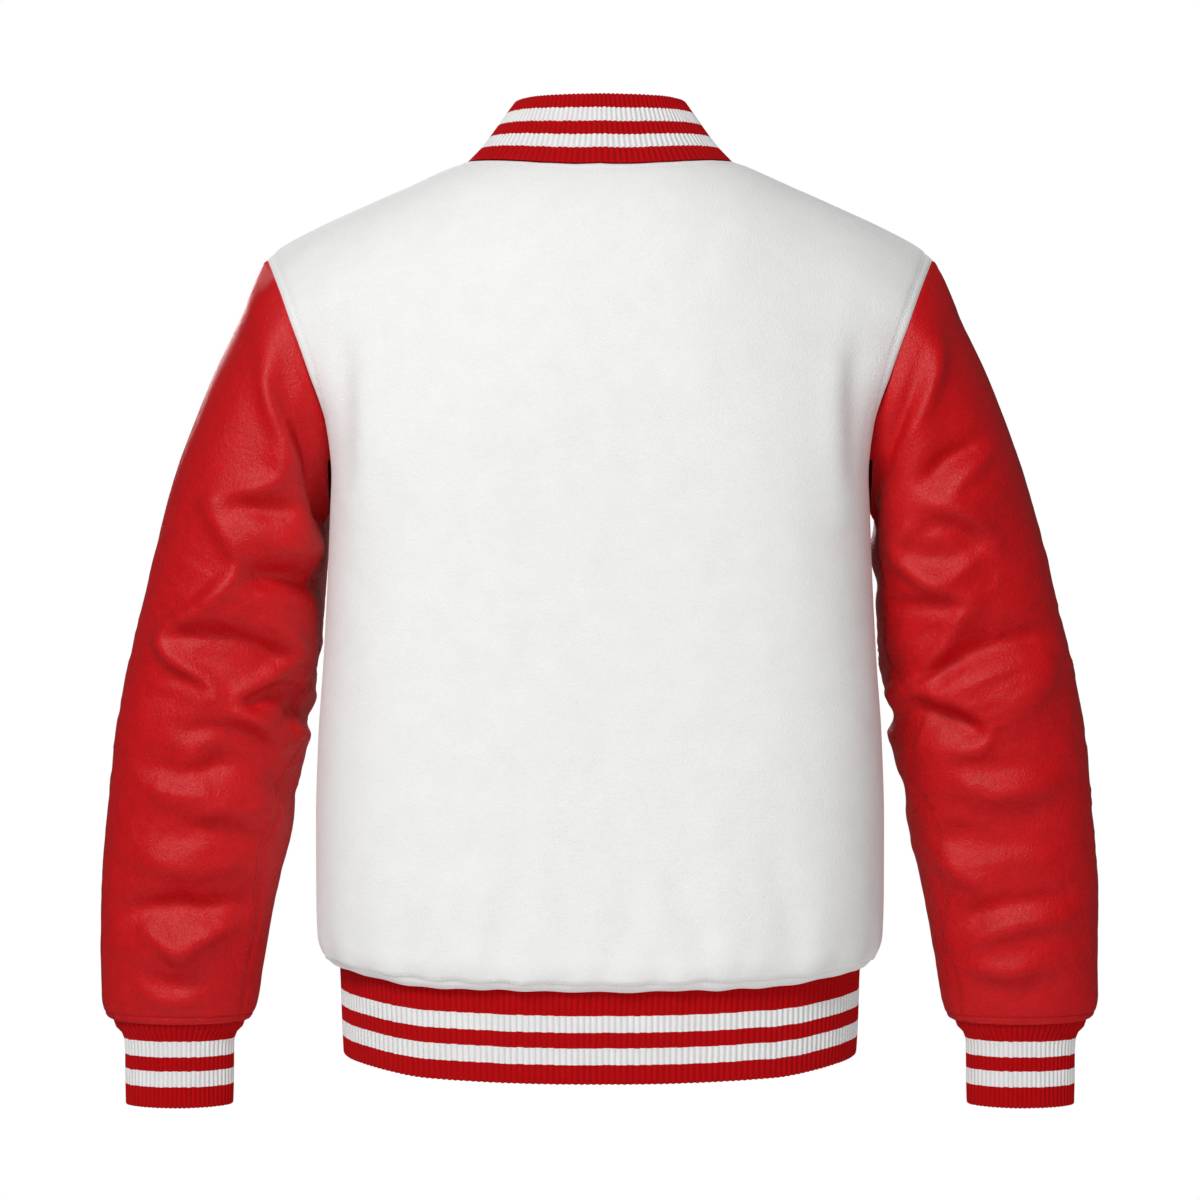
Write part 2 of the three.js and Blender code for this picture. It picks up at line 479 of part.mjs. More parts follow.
// A ribbed wall: its outer rows hold two points for each rib, and its inner rows fewer, plain ones
function ribbedWall(outer, inner, round = false) {
  const triangles = [];
  const rows = outer.length;
  const closed = (row) => (round ? [...row, row[0]] : row);
  const strip = (first, second) => {
    let i = 0;
    let j = 0;
    while (i < first.length - 1 || j < second.length - 1) {
      const nextFirst = (i + 1) / (first.length - 1);
      const nextSecond = (j + 1) / (second.length - 1);
      if (j === second.length - 1 || (i < first.length - 1 && nextFirst <= nextSecond)) {
        triangles.push(first[i], first[i + 1], second[j]);
        i++;
      } else {
        triangles.push(first[i], second[j + 1], second[j]);
        j++;
      }
    }
  };
  for (let i = 0; i + 1 < rows; i++) {
    strip(closed(outer[i]), closed(outer[i + 1]));
    strip(closed(inner[i + 1]), closed(inner[i]));
    if (round) continue;
    const lastOut = outer[i].length - 1;
    const lastIn = inner[i].length - 1;
    triangles.push(outer[i][0], outer[i + 1][0], inner[i + 1][0]);
    triangles.push(outer[i][0], inner[i + 1][0], inner[i][0]);
    triangles.push(outer[i][lastOut], inner[i][lastIn], inner[i + 1][lastIn]);
    triangles.push(outer[i][lastOut], inner[i + 1][lastIn], outer[i + 1][lastOut]);
  }
  strip(closed(inner[0]), closed(outer[0]));
  strip(closed(outer[rows - 1]), closed(inner[rows - 1]));
  return solid(triangles);
}

// The geometry of a list of corner points, three for each triangle, turned so that its faces point outwards
function solid(corners) {
  let volume = 0;
  const cross = new THREE.Vector3();
  for (let i = 0; i < corners.length; i += 3) {
    volume += corners[i].dot(cross.crossVectors(corners[i + 1], corners[i + 2]));
  }
  const ordered = volume < 0 ? corners.slice().reverse() : corners;
  return new THREE.BufferGeometry().setFromPoints(ordered);
}

// A body panel over the given columns; tuckAt says how far it lies inside the outer surface there
function bodyPanel(face, across, tuckAt = () => 0) {
  const outer = [];
  const inner = [];
  for (const level of levels()) {
    const spots = across.map((u) => bodySpot(face, u, level, tuckAt(u)));
    outer.push(spots.map((spot) => spot[0]));
    inner.push(spots.map((spot) => spot[1]));
  }
  return wall(outer, inner);
}

function backPanel() {
  const half = columns();
  const mirrored = half.slice(1).reverse().map((u) => -u);
  return bodyPanel("back", [...mirrored, ...half]);
}

// The wearer's left front, which lies on top and passes the centre
function leftFront() {
  return bodyPanel("front", [-OVERLAP / SHOULDER_X, ...columns()]);
}

// The wearer's right front, which goes in under the left one
function rightFront() {
  const edge = OVERLAP / SHOULDER_X;
  const ramp = (OVERLAP + TUCK_RAMP) / SHOULDER_X;
  const half = columns().slice(1).reverse().map((u) => -u);
  const tuckAt = (u) => (WOOL + LAYER_GAP) * smoothstep(u, -ramp, -edge - 0.012);
  return bodyPanel("front", [...half, -edge - 0.01, 0, edge], tuckAt);
}

// How wide the body is at a point's height and depth, for keeping the sleeve clear of it
function bodySide(y, z) {
  const level = clamp(z, HEM_TOP, ARMPIT_Z);
  const half = read(BODY, "z", "half", level);
  const depth = read(BODY, "z", y > SIDE_SEAM_Y ? "back" : "front", level);
  const across = clamp(Math.abs(y - SIDE_SEAM_Y) / (depth - SIDE_SEAM_Y), 0, 0.97);
  return half * bow(across, read(BODY, "z", "square", level));
}

// A point of the sleeve as a plain bent tube: turn 0 is its outer edge, 90 its back and 180 its inner edge
function sleeveTube(turn, along) {
  const at = (key) => read(SLEEVE, "along", key, along);
  const out = new THREE.Vector3(at("outX"), at("midY"), at("outZ"));
  const into = new THREE.Vector3(at("inX"), at("midY"), at("inZ"));
  const cos = Math.cos(radians(turn));
  const sin = Math.sin(radians(turn));
  const point = out.clone().add(into).multiplyScalar(0.5);
  point.addScaledVector(out.sub(into), cos / 2);
  point.y += sin * (sin > 0 ? at("back") : at("front"));
  return point;
}

// The armhole's point at the same turn as a sleeve's
function armholeAt(turn) {
  const wrapped = ((turn % 360) + 360) % 360;
  const face = wrapped <= 180 ? "back" : "front";
  const rise = wrapped <= 180 ? 1 - wrapped / 180 : (wrapped - 180) / 180;
  return { point: readPoint(ARMHOLE[face], "rise", rise), inward: armholeInward(face, rise) };
}

// The sleeve's smooth form, from the armhole into the tube, kept clear of the body
function sleeveForm(turn, along) {
  const tube = sleeveTube(turn, along);
  const fade = 1 - smoothstep(along, 0, ARMHOLE_FADE);
  tube.addScaledVector(armholeAt(turn).point.sub(sleeveTube(turn, 0)), fade);
  const least = bodySide(tube.y, tube.z) + BODY_CLEARANCE * smoothstep(along, 0, 0.06);
  const gap = tube.x - least;
  if (tube.z < ARMPIT_Z + ARMPIT_REACH && gap < PUSH_SOFTNESS) {
    tube.x = least + PUSH_SOFTNESS * Math.exp((gap - PUSH_SOFTNESS) / PUSH_SOFTNESS);
  }
  return tube;
}

function sleeve(which) {
  const outer = [];
  const inner = [];
  const turns = ARMHOLE_ROWS * 2;
  for (let i = 0; i <= SLEEVE_ROWS; i++) {
    const along = i / SLEEVE_ROWS;
    const outerRow = [];
    const innerRow = [];
    for (let j = 0; j < turns; j++) {
      const turn = (j * 360) / turns;
      const inside = clamp(along, 0.002, 0.998);
      const normal = normalOf((a, b) => sleeveForm(a * 90, b), turn / 90, inside, 1);
      const point = sleeveForm(turn, along);
      const behind = clamp(0.5 + Math.sin(radians(turn)) / 0.6, 0, 1);
      const share = smoothstep(along, 0.02, 0.1) * (1 - smoothstep(along, 0.94, 1));
      const backLift = strokesAt(CREASES[which], 1, point);
      const frontLift = strokesAt(CREASES[which], -1, point);
      point.addScaledVector(normal, lerp(frontLift, backLift, behind) * share);
      const inward = normal.clone().negate();
      if (i === 0) {
        inward.copy(armholeAt(turn).inward);
        point.x += ARMHOLE_GAP;
      }
      if (i === SLEEVE_ROWS) inward.setZ(0).normalize();
      outerRow.push(point);
      innerRow.push(point.clone().addScaledVector(inward, LEATHER));
    }
    outer.push(outerRow);
    inner.push(innerRow);
  }
  if (which === "right") for (const row of [...outer, ...inner]) for (const point of row) point.x *= -1;
  return wall(outer, inner, true);
}

// The length of a curve given by a function of 0 to 1, up to each of its fine steps
const FINE = 400;
function lengthsOf(curve) {
  const lengths = [0];
  let before = curve(0);
  for (let k = 1; k <= FINE; k++) {
    const here = curve(k / FINE);
    lengths.push(lengths[k - 1] + here.distanceTo(before));
    before = here;
  }
  return lengths;
}

// Values from 0 to 1 that space points evenly along a curve
function evenly(curve, count) {
  const lengths = lengthsOf(curve);
  const found = [];
  let k = 0;
  for (let i = 0; i < count; i++) {
    const target = (lengths[FINE] * i) / (count - 1);
    while (k < FINE - 1 && lengths[k + 1] < target) k++;
    found.push((k + (target - lengths[k]) / (lengths[k + 1] - lengths[k])) / FINE);
  }
  return found;
}

// The inside and outside of a knit along one row: place gives the row's point at t and inwards its direction
function ribRows(place, inwards, places, ribs, depth = RIB_DEPTH) {
  const outer = places.map((t, i) => place(t).addScaledVector(inwards(t), i % 2 ? depth : 0));
  const flats = Math.round(ribs / RIBS_PER_FLAT);
  const inner = [];
  for (let k = 0; k <= flats; k++) {
    const t = places[Math.round((k * (places.length - 1)) / flats)];
    inner.push(place(t).addScaledVector(inwards(t), KNIT));
  }
  return { outer, inner };
}

function cuff(mirror) {
  const points = CUFF_RIBS * 2;
  const ring = (row, t) => {
    const angle = t * Math.PI * 2;
    const x = CUFF_X + row.half * Math.cos(angle);
    return new THREE.Vector3(mirror * x, CUFF_Y + row.depth * Math.sin(angle), row.z);
  };
  const outer = [];
  const inner = [];
  const places = evenly((t) => ring(CUFF[2], t), points + 1).slice(0, points);
  for (const row of CUFF) {
    const inwards = (t) => {
      const middle = new THREE.Vector3(mirror * CUFF_X, CUFF_Y, row.z);
      return middle.sub(ring(row, t)).normalize();
    };
    const made = ribRows((t) => ring(row, t), inwards, places, CUFF_RIBS);
    outer.push(made.outer);
    made.inner.pop();
    inner.push(made.inner);
  }
  return ribbedWall(outer, inner, true);
}

// The hem band starts at the upper end of the overlap, runs round the wearer's left side and back, and ends
// under its own start
function hemBand() {
  const around = (row, t) => {
    const start = Math.asin(OVERLAP / row.half);
    const angle = -start + t * (Math.PI * 2 + 2 * start);
    const u = Math.sin(angle);
    const behind = Math.cos(angle) < 0;
    const squared = Math.sign(u) * Math.pow(Math.abs(u), 2 / HEM_SQUARE);
    const deep = Math.pow(Math.abs(Math.cos(angle)), 2 / HEM_SQUARE);
    const y = lerp(SIDE_SEAM_Y, behind ? row.back : -row.front, deep);
    return new THREE.Vector3(squared * row.half, y, row.z);
  };
  const inwards = (row, t) => {
    const step = 1e-3;
    const tangent = around(row, Math.min(1, t + step)).sub(around(row, Math.max(0, t - step)));
    return new THREE.Vector3(-tangent.y, tangent.x, 0).normalize();
  };
  const points = HEM_RIBS * 2;
  const places = evenly((t) => around(HEM[1], t), points + 1);
  const girth = lengthsOf((t) => around(HEM[1], t))[FINE];
  const tuckEnd = (2 * OVERLAP) / girth;
  const rampEnd = (2 * OVERLAP + TUCK_RAMP) / girth;
  const outer = [];
  const inner = [];
  for (const row of HEM) {
    const tuck = (t) => (KNIT + LAYER_GAP) * smoothstep(t, 1 - rampEnd, 1 - tuckEnd - 0.002);
    const place = (t) => around(row, t).addScaledVector(inwards(row, t), tuck(t));
    const made = ribRows(place, (t) => inwards(row, t), places, HEM_RIBS);
    outer.push(made.outer);
    inner.push(made.inner);
  }
  return ribbedWall(outer, inner);
}

// The neck seam's point at an angle from the centre back (0) to the centre front (180)
function neckSeam(turn) {
  const step = 90 / NECK_COLUMNS;
  const k = Math.floor(turn / step - 1e-9);
  return neckEdge(k * step).lerp(neckEdge((k + 1) * step), turn / step - k);
}

// The collar runs from its left end at the front round the back to its right end
function collar() {
  const lift = (t) => SEAM_GAP + COLLAR_EASE + END_EASE * smoothstep(Math.abs(turnAt(t)), 158, 174);
  const ends = 180 - (COLLAR_END_GAP / NECK_X) * (180 / Math.PI);
  const turnAt = (t) => ends * (2 * t - 1);
  const seamPoint = (t) => {
    const turn = turnAt(t);
    const point = neckSeam(Math.abs(turn));
    point.x *= -Math.sign(turn) || 1;
    return point;
  };
  const topPoint = (t) => {
    const turn = turnAt(t);
    const point = readPoint(COLLAR_TOP, "turn", Math.abs(turn));
    point.x *= -Math.sign(turn) || 1;
    return point;
  };
  const middle = (t) => seamPoint(t).lerp(topPoint(t), 0.5);
  const points = COLLAR_RIBS * 2;
  const places = evenly(middle, points + 1);
  const length = lengthsOf(middle)[FINE];
  const heightAt = (t) => {
    const fromEnd = Math.min(t, 1 - t) * length;
    const round = clamp(1 - fromEnd / COLLAR_CORNER, 0, 1);
    return COLLAR_END_HEIGHT + (1 - COLLAR_END_HEIGHT) * Math.sqrt(1 - round * round);
  };
  const outward = (t) => {
    const step = 2e-3;
    const tangent = middle(Math.min(1, t + step)).sub(middle(Math.max(0, t - step)));
    const up = topPoint(t).sub(seamPoint(t));
    const normal = tangent.cross(up).normalize();
    const away = middle(t).setZ(0);
    return normal.dot(away) < 0 ? normal.negate() : normal;
  };
  const outer = [];
  const inner = [];
  COLLAR_ROWS.forEach((row, i) => {
    const place = (t) => {
      const seam = seamPoint(t);
      const up = topPoint(t).sub(seam);
      const rise = row.up * heightAt(t);
      const point = seam.clone().addScaledVector(up, rise);
      point.addScaledVector(outward(t), -row.sink);
      return point.addScaledVector(up.normalize(), i === 0 ? lift(t) : 0);
    };
    const inwards = (t) => {
      if (i > 0) return outward(t).negate();
      const inward = neckInward(Math.abs(turnAt(t)));
      inward.x *= -Math.sign(turnAt(t)) || 1;
      return inward;
    };
    const made = ribRows(place, inwards, places, COLLAR_RIBS, row.ribs);
    outer.push(made.outer);
    inner.push(made.inner);
  });
  return ribbedWall(outer, inner);
}

// A snap's domed cap, turned about its own axis
function snapCap() {
  const profile = [new THREE.Vector2(0, 0), new THREE.Vector2(SNAP_RADIUS, 0)];
  profile.push(new THREE.Vector2(SNAP_RADIUS, SNAP_HEIGHT * 0.35));
  profile.push(new THREE.Vector2(SNAP_RADIUS * 0.7, SNAP_HEIGHT * 0.85));
  profile.push(new THREE.Vector2(0, SNAP_HEIGHT));
  return new THREE.LatheGeometry(profile, 12);
}

// Where a snap sits at a height on the centre line, and which way its cap faces
function frontCentre(z) {
  if (z < HEM_TOP) {
    const down = (HEM_TOP - z) / (HEM_TOP - HEM_BOTTOM);
    const front = lerp(HEM[0].front, HEM[1].front, down);
    return { point: new THREE.Vector3(0, -front, z), normal: new THREE.Vector3(0, -1, 0) };
  }
  let level = (z - ARMPIT_Z) / (ARMPIT_Z - HEM_TOP);
  if (z > ARMPIT_Z) {
    let low = 0;
    let high = 1;
    while (high - low > 1e-4) {
      const middle = (low + high) / 2;
      if (bodyForm("front", 0, middle).z < z) low = middle;
      else high = middle;
    }
    level = low;
  }
  const { point, normal } = bodyOuter("front", 0, level);
  return { point, normal };
}

const wool = new THREE.MeshStandardMaterial({ color: 0xededec, roughness: 0.95, metalness: 0 });
const leather = new THREE.MeshStandardMaterial({ color: 0xb5141c, roughness: 0.42, metalness: 0 });
const knit = new THREE.MeshStandardMaterial({ color: 0xa8030b, roughness: 0.9, metalness: 0 });
const nickel = new THREE.MeshStandardMaterial({ color: 0xc9c9c9, roughness: 0.3, metalness: 1 });

const jacket = new THREE.Group();
function add(name, geometry, material) {
  const mesh = new THREE.Mesh(geometry, material);
  mesh.name = name;
  jacket.add(mesh);
  return mesh;
}

add("back", backPanel(), wool);
add("front_left", leftFront(), wool);
add("front_right", rightFront(), wool);
add("sleeve_left", sleeve("left"), leather);
add("sleeve_right", sleeve("right"), leather);
add("collar", collar(), knit);
add("hem_band", hemBand(), knit);
add("cuff_left", cuff(1), knit);
add("cuff_right", cuff(-1), knit);

for (let k = 0; k < SNAP_COUNT; k++) {
  const seat = frontCentre(SNAP_TOP - k * SNAP_PITCH);
  const snap = add(`snap_${k + 1}`, snapCap(), nickel);
  snap.position.copy(seat.point).addScaledVector(seat.normal, SEAM_GAP + 0.2);
  snap.quaternion.setFromUnitVectors(new THREE.Vector3(0, 1, 0), seat.normal);
}

export default jacket;
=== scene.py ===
import math

import bpy
import numpy as np
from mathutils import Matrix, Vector


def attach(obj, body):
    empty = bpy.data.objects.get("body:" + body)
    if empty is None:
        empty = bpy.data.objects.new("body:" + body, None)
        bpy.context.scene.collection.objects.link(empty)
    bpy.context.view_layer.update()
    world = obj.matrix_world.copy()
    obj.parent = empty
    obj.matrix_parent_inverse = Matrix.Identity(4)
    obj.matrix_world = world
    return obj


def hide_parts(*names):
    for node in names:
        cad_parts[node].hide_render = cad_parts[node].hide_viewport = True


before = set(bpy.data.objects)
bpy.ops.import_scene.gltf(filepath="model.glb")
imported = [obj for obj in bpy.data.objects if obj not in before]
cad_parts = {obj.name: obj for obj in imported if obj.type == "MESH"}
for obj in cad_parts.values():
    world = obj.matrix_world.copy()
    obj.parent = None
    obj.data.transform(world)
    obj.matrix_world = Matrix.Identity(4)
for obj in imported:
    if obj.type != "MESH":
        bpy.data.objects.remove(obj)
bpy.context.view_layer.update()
bpy.ops.object.select_all(action="DESELECT")

# The back of the body. It is one panel of heavy white melton wool, cut in one with the shoulders and eased
# into the hem band, so it bulges a little above it. Its edges turn in where they are sewn to the other
# panels, and a row of stitching holds the seam allowance beside the sleeves, the collar and the hem band.
MM = 0.001
WOOL = 2.4
SIDE_SEAM_Y = 6
SHOULDER_X = 250
NECK_U = 0.4
HEM_TOP = -600
ARMPIT_Z = -262
SEAM_GAP = 0.35
SEAM_PARTING = 0.15

# Height, half width, depth of the back, depth of the front, squareness
BODY = np.array([
    (-600, 196.2, 135.2, 119.2, 2.7),
    (-594, 204.8, 142.7, 126.2, 2.75),
    (-579, 209.6, 146.7, 129.7, 2.8),
    (-549, 210.4, 146.7, 129.7, 2.9),
    (-490, 210.5, 143.7, 128.7, 3),
    (-430, 208.8, 141.7, 128.2, 3.05),
    (-371, 204.8, 139.7, 128.2, 3.1),
    (-311, 201.8, 138.2, 128.2, 3.1),
    (ARMPIT_Z, 200, 137.2, 128.2, 3.1),
])
# The armhole's edge from the armpit to the shoulder tip: rise, x, y, z
ARMHOLE = {
    "back": np.array([
        (0, 200, 6, -262),
        (0.16, 197.6, 32, -232),
        (0.33, 200.4, 56, -199),
        (0.5, 212, 69, -163),
        (0.67, 224.5, 65, -128),
        (0.84, 237.5, 39, -96),
        (1, SHOULDER_X, -4, -70.5),
    ]),
    "front": np.array([
        (0, 200, 6, -262),
        (0.16, 196.4, -22, -234),
        (0.33, 197.5, -46, -203),
        (0.5, 205, -61, -168),
        (0.67, 218.5, -60, -133),
        (0.84, 235, -39, -99),
        (1, SHOULDER_X, -4, -70.5),
    ]),
}
# The shoulder seam: distance from the centre, height
SHOULDER = np.array([
    (0, 12), (60, 8), (100, 0.6), (148.5, -18.9), (183, -33.6), (215, -48), (240, -61.6), (SHOULDER_X, -70.5),
])
# Side of the body, column of BODY, roundness at the centre and near the armhole, start of the neck opening
FACES = {"back": (1, 2, 2.7, 2.2, 0.81), "front": (-1, 3, 1.9, 2, 0.622)}
# Soft folds, as seen from behind: side, height, width, and the fold's line by x and z
DRAPES = [
    (1, -4, 11, (192, -140), (190, -185), (190, -240)),
    (1, 3, 13, (180, -150), (180, -200), (184, -260)),
    (-1, -4, 12, (186, -140), (184, -190), (186, -250)),
    (1, -2, 14, (150, -598), (146, -570), (128, -520)),
    (1, -2, 13, (74, -598), (72, -575), (60, -535)),
    (1, -1.8, 14, (22, -598), (24, -570), (30, -530)),
    (-1, -2, 14, (120, -598), (118, -570), (104, -528)),
    (-1, -2, 13, (60, -598), (62, -575), (70, -540)),
]
# Ripples all over the wool: height, size across and up, and where in from the edge they start and are full
RIPPLES = [(1.1, 70, 95, 4, 30), (0.4, 24, 30, 3, 12)]
# The seams whose allowance is stitched down: how far in the stitches lie, and how deep they pull the wool
STITCHED_DOWN = {"armhole": (7, 0.55), "neck": (6.5, 0.55), "hem": (5, 1.6)}
DENT_WIDTH = 1.4
TURNED_EDGE = 1.3
HEM_SIDE_RISE = 5.5
HEM_SAG = 2.5
EYE_DISTANCE = 2350
EYE_Z = -326
GATHERS = 34
GATHER_DEPTH = 0.9
GATHER_REACH = 26


def lerp(a, b, t):
    return a + (b - a) * t


def smooth(x, low, high):
    t = np.clip((x - low) / (high - low), 0, 1)
    return t * t * (3 - 2 * t)


def curve(xs, ys, at):
    """The smooth curve through table rows, which never swings past a row."""
    step = np.diff(ys) / np.diff(xs)
    turning = step[:-1] * step[1:] <= 0
    total = np.where(turning, 1, step[:-1] + step[1:])
    inner = np.where(turning, 0, 2 * step[:-1] * step[1:] / total)
    slope = np.concatenate([step[:1], inner, step[-1:]])
    at = np.clip(at, xs[0], xs[-1])
    i = np.clip(np.searchsorted(xs, at, side="right") - 1, 0, len(xs) - 2)
    span = xs[i + 1] - xs[i]
    t = (at - xs[i]) / span
    rest = 1 - t
    rising = ys[i] * (1 + 2 * t) * rest**2 + ys[i + 1] * t * t * (3 - 2 * t)
    return rising + slope[i] * span * t * rest**2 - slope[i + 1] * span * t * t * rest


def read_table(table, at, *columns):
    """Smooth values of a table's columns, read at values of its first column."""
    return [curve(table[:, 0], table[:, k], at) for k in columns]


def bow(u, square, steep):
    return np.clip(1 - np.abs(u) ** square, 0, 1) ** (1 / steep)


def armhole_point(face, rise):
    return np.stack(read_table(ARMHOLE[face], rise, 1, 2, 3), -1)


def body_form(face, u, level):
    """Points of the plain body. u runs across from -1 to 1, and level up from -1 at the hem over 0 at the
    armpit to 1 at the shoulder."""
    sign, column, round_centre, round_outer, neck_rise = FACES[face]
    z = lerp(ARMPIT_Z, HEM_TOP, np.clip(-level, 0, 1))
    half, deep, square = read_table(BODY, z, 1, column, 4)
    y = lerp(SIDE_SEAM_Y, sign * deep, bow(u, square, square))
    lower = np.stack([u * half, y, z], -1)
    across = np.abs(u)
    neck = np.clip(across / NECK_U, 0, 1)
    rise = np.clip(level, 0, 1)
    # Low on the panel the rows dip softly under the neck, and near its edge as steeply as the opening does
    dip = lerp((1 - neck**2) ** 2, np.sqrt(1 - neck**2), rise ** (0.9 / (1 - neck_rise)))
    rise = rise * (1 - (1 - neck_rise) * dip)
    edge = armhole_point(face, rise)
    bottom = BODY[-1]
    angle = np.radians(90 * rise**1.6)
    rounded = lerp(round_centre, round_outer, smooth(across, 0.1, 0.75))
    climb = np.sin(angle) ** (2 / rounded)
    inward = np.clip(np.cos(angle), 0, 1) ** (2 / rounded)
    ridge = read_table(SHOULDER, across * SHOULDER_X, 1)[0]
    outer = lerp(ARMPIT_Z, ARMHOLE[face][-1, 3], np.sin(angle) ** (2 / round_outer))
    z = lerp(ARMPIT_Z, ridge, climb) + (edge[..., 2] - outer) * across**4
    steep = lerp(bottom[4], 1.15, smooth(rise, 0.05, 0.55))
    y = lerp(edge[..., 1], sign * bottom[column] * inward, bow(u, bottom[4], steep))
    upper = np.stack([u * edge[..., 0], y, z], -1)
    return np.where(level[..., None] > 0, upper, lower)


def hem_rise(across):
    """How much higher than a flat ring the hem lies: it rides up at the sides and sags at the centre."""
    return HEM_SIDE_RISE * smooth(across, 0.65, 1) - HEM_SAG * (1 - smooth(across, 0.1, 0.8))


def unit(v):
    return v / np.maximum(np.linalg.norm(v, axis=-1, keepdims=True), 1e-9)


def grid_normals(points, closed=False):
    """Normals of a grid of points, square to its rows and columns."""
    if closed:
        wide = np.concatenate([points[:, -1:], points, points[:, :1]], 1)
        across = (wide[:, 2:] - wide[:, :-2]) / 2
    else:
        across = np.gradient(points, axis=1)
    return unit(np.cross(np.gradient(points, axis=0), across))


def rounded_line(points, cuts=3):
    """A line through given points with its corners cut round."""
    line = np.array(points, float)
    for _ in range(cuts):
        a, b = line[:-1], line[1:]
        pairs = np.stack([a * 0.75 + b * 0.25, a * 0.25 + b * 0.75], 1)
        line = np.vstack([line[:1], pairs.reshape(-1, line.shape[1]), line[-1:]])
    return line


def nearest(spots, line):
    """Distance from each spot to a line, and how far along the line that is, from 0 to 1."""
    start, run = line[:-1], np.diff(line, axis=0)
    along = ((spots[:, None] - start) * run).sum(-1) / np.maximum((run * run).sum(-1), 1e-9)
    along = np.clip(along, 0, 1)
    gap = np.linalg.norm(spots[:, None] - start - along[..., None] * run, axis=-1)
    best = gap.argmin(1)
    rows = np.arange(len(best))
    return gap[rows, best], (best + along[rows, best]) / len(run)


def stroke_lift(strokes, points):
    """How far folds drawn as seen from behind lift the cloth: each is height, width and its line's points."""
    nearer = EYE_DISTANCE / (EYE_DISTANCE - points[..., 1])
    seen = np.stack([np.abs(points[..., 0]) * nearer, EYE_Z + (points[..., 2] - EYE_Z) * nearer], -1)
    lift = np.zeros(points.shape[:-1])
    for high, wide, *corners in strokes:
        line = rounded_line(corners)
        reach = 2.6 * wide
        near = np.all((seen > line.min(0) - reach) & (seen < line.max(0) + reach), -1)
        if not near.any():
            continue
        gap, place = nearest(seen[near], line)
        lift[near] += high * np.sin(np.pi * lerp(0.16, 0.84, place)) * np.exp(-((gap / wide) ** 2))
    return lift


def soft_noise(a, b, seed, wrap=0):
    """Random soft hills from -1 to 1, one cell wide. With wrap, they repeat after that many cells of a."""
    cells = 97
    heights = np.random.default_rng(seed).uniform(-1, 1, (cells, cells))
    i, j = np.floor(a).astype(int), np.floor(b).astype(int)
    s, t = a - i, b - j
    s, t = s * s * (3 - 2 * s), t * t * (3 - 2 * t)

    def at(p, q):
        return heights[(p % wrap if wrap else p) % cells, q % cells]

    return lerp(lerp(at(i, j), at(i + 1, j), s), lerp(at(i, j + 1), at(i + 1, j + 1), s), t)


def distance(points, line, limit=40):
    """Distance of each point from a seam's line, where it is below limit."""
    near = np.all((points > line.min(0) - limit) & (points < line.max(0) + limit), -1)
    found = np.full(points.shape[:-1], float(limit))
    if near.any():
        found[near] = np.minimum(nearest(points[near], line)[0], limit)
    return found


def quads(index):
    """The four-cornered faces of a grid of point numbers."""
    return np.stack([index[:-1, :-1], index[:-1, 1:], index[1:, 1:], index[1:, :-1]], -1).reshape(-1, 4)


def strip(a, b):
    """The faces between two rows of point numbers."""
    return np.stack([a[:-1], b[:-1], b[1:], a[1:]], -1)


def inside_out(points, faces):
    """Whether the faces of a closed mesh point inwards."""
    a, b, c, d = (points[faces[:, k]] for k in range(4))
    return (a * np.cross(b, c)).sum() + (a * np.cross(c, d)).sum() < 0


def new_piece(name, points, polygons, material, bend=0):
    """A mesh object from points in millimetres, with edges that bend less than some degrees shaded smooth."""
    mesh = bpy.data.meshes.new(name)
    mesh.from_pydata((points * MM).tolist(), [], polygons)
    mesh.materials.append(material)
    piece = bpy.data.objects.new(name, mesh)
    bpy.context.scene.collection.objects.link(piece)
    if bend:
        bpy.ops.object.select_all(action="DESELECT")
        piece.select_set(True)
        bpy.context.view_layer.objects.active = piece
        bpy.ops.object.shade_smooth_by_angle(angle=math.radians(bend))
    return piece


def cloth(name, outer, inner, material, closed=False):
    """A thin closed shell between an outer and an inner grid. A closed grid's last column meets its first."""
    rows, cols = outer.shape[:2]
    points = np.concatenate([outer.reshape(-1, 3), inner.reshape(-1, 3)])
    front = np.arange(rows * cols).reshape(rows, cols)
    if closed:
        front = np.hstack([front, front[:, :1]])
    back = front + rows * cols
    faces = [quads(front), quads(back)[:, ::-1], strip(front[0], back[0]), strip(back[-1], front[-1])]
    if not closed:
        faces += [strip(back[:, 0], front[:, 0]), strip(front[:, -1], back[:, -1])]
    faces = np.concatenate(faces)
    if inside_out(points, faces):
        faces = faces[:, ::-1]
    return new_piece(name, points, faces.tolist(), material, bend=50)


def node(tree, kind, values=(), **settings):
    """Adds a shader node, sets its fields by name and its sockets by name or number, from values or links."""
    made = tree.nodes.new("ShaderNode" + kind)
    for key, value in settings.items():
        setattr(made, key, value)
    for key, value in dict(values).items():
        if isinstance(value, bpy.types.NodeSocket):
            tree.links.new(value, made.inputs[key])
        else:
            made.inputs[key].default_value = value
    return made


def new_material(name):
    material = bpy.data.materials.new(name)
    material.use_nodes = True
    tree = material.node_tree
    return material, tree, tree.nodes["Principled BSDF"]


def maths(tree, operation, *values):
    """The output of a math node on values or links."""
    return node(tree, "Math", dict(enumerate(values)), operation=operation).outputs[0]


def mapped(tree, value, *limits):
    """A value mapped from one range to another. The limits are from low, from high, to low, to high."""
    return node(tree, "MapRange", dict(enumerate((value, *limits)))).outputs[0]


def bumped(tree, height, strength, depth, under=None):
    """The normal of a surface with a fine relief, on top of another relief's normal where one is given."""
    values = {"Height": height, "Strength": strength, "Distance": depth}
    if under is not None:
        values["Normal"] = under
    return node(tree, "Bump", values).outputs[0]


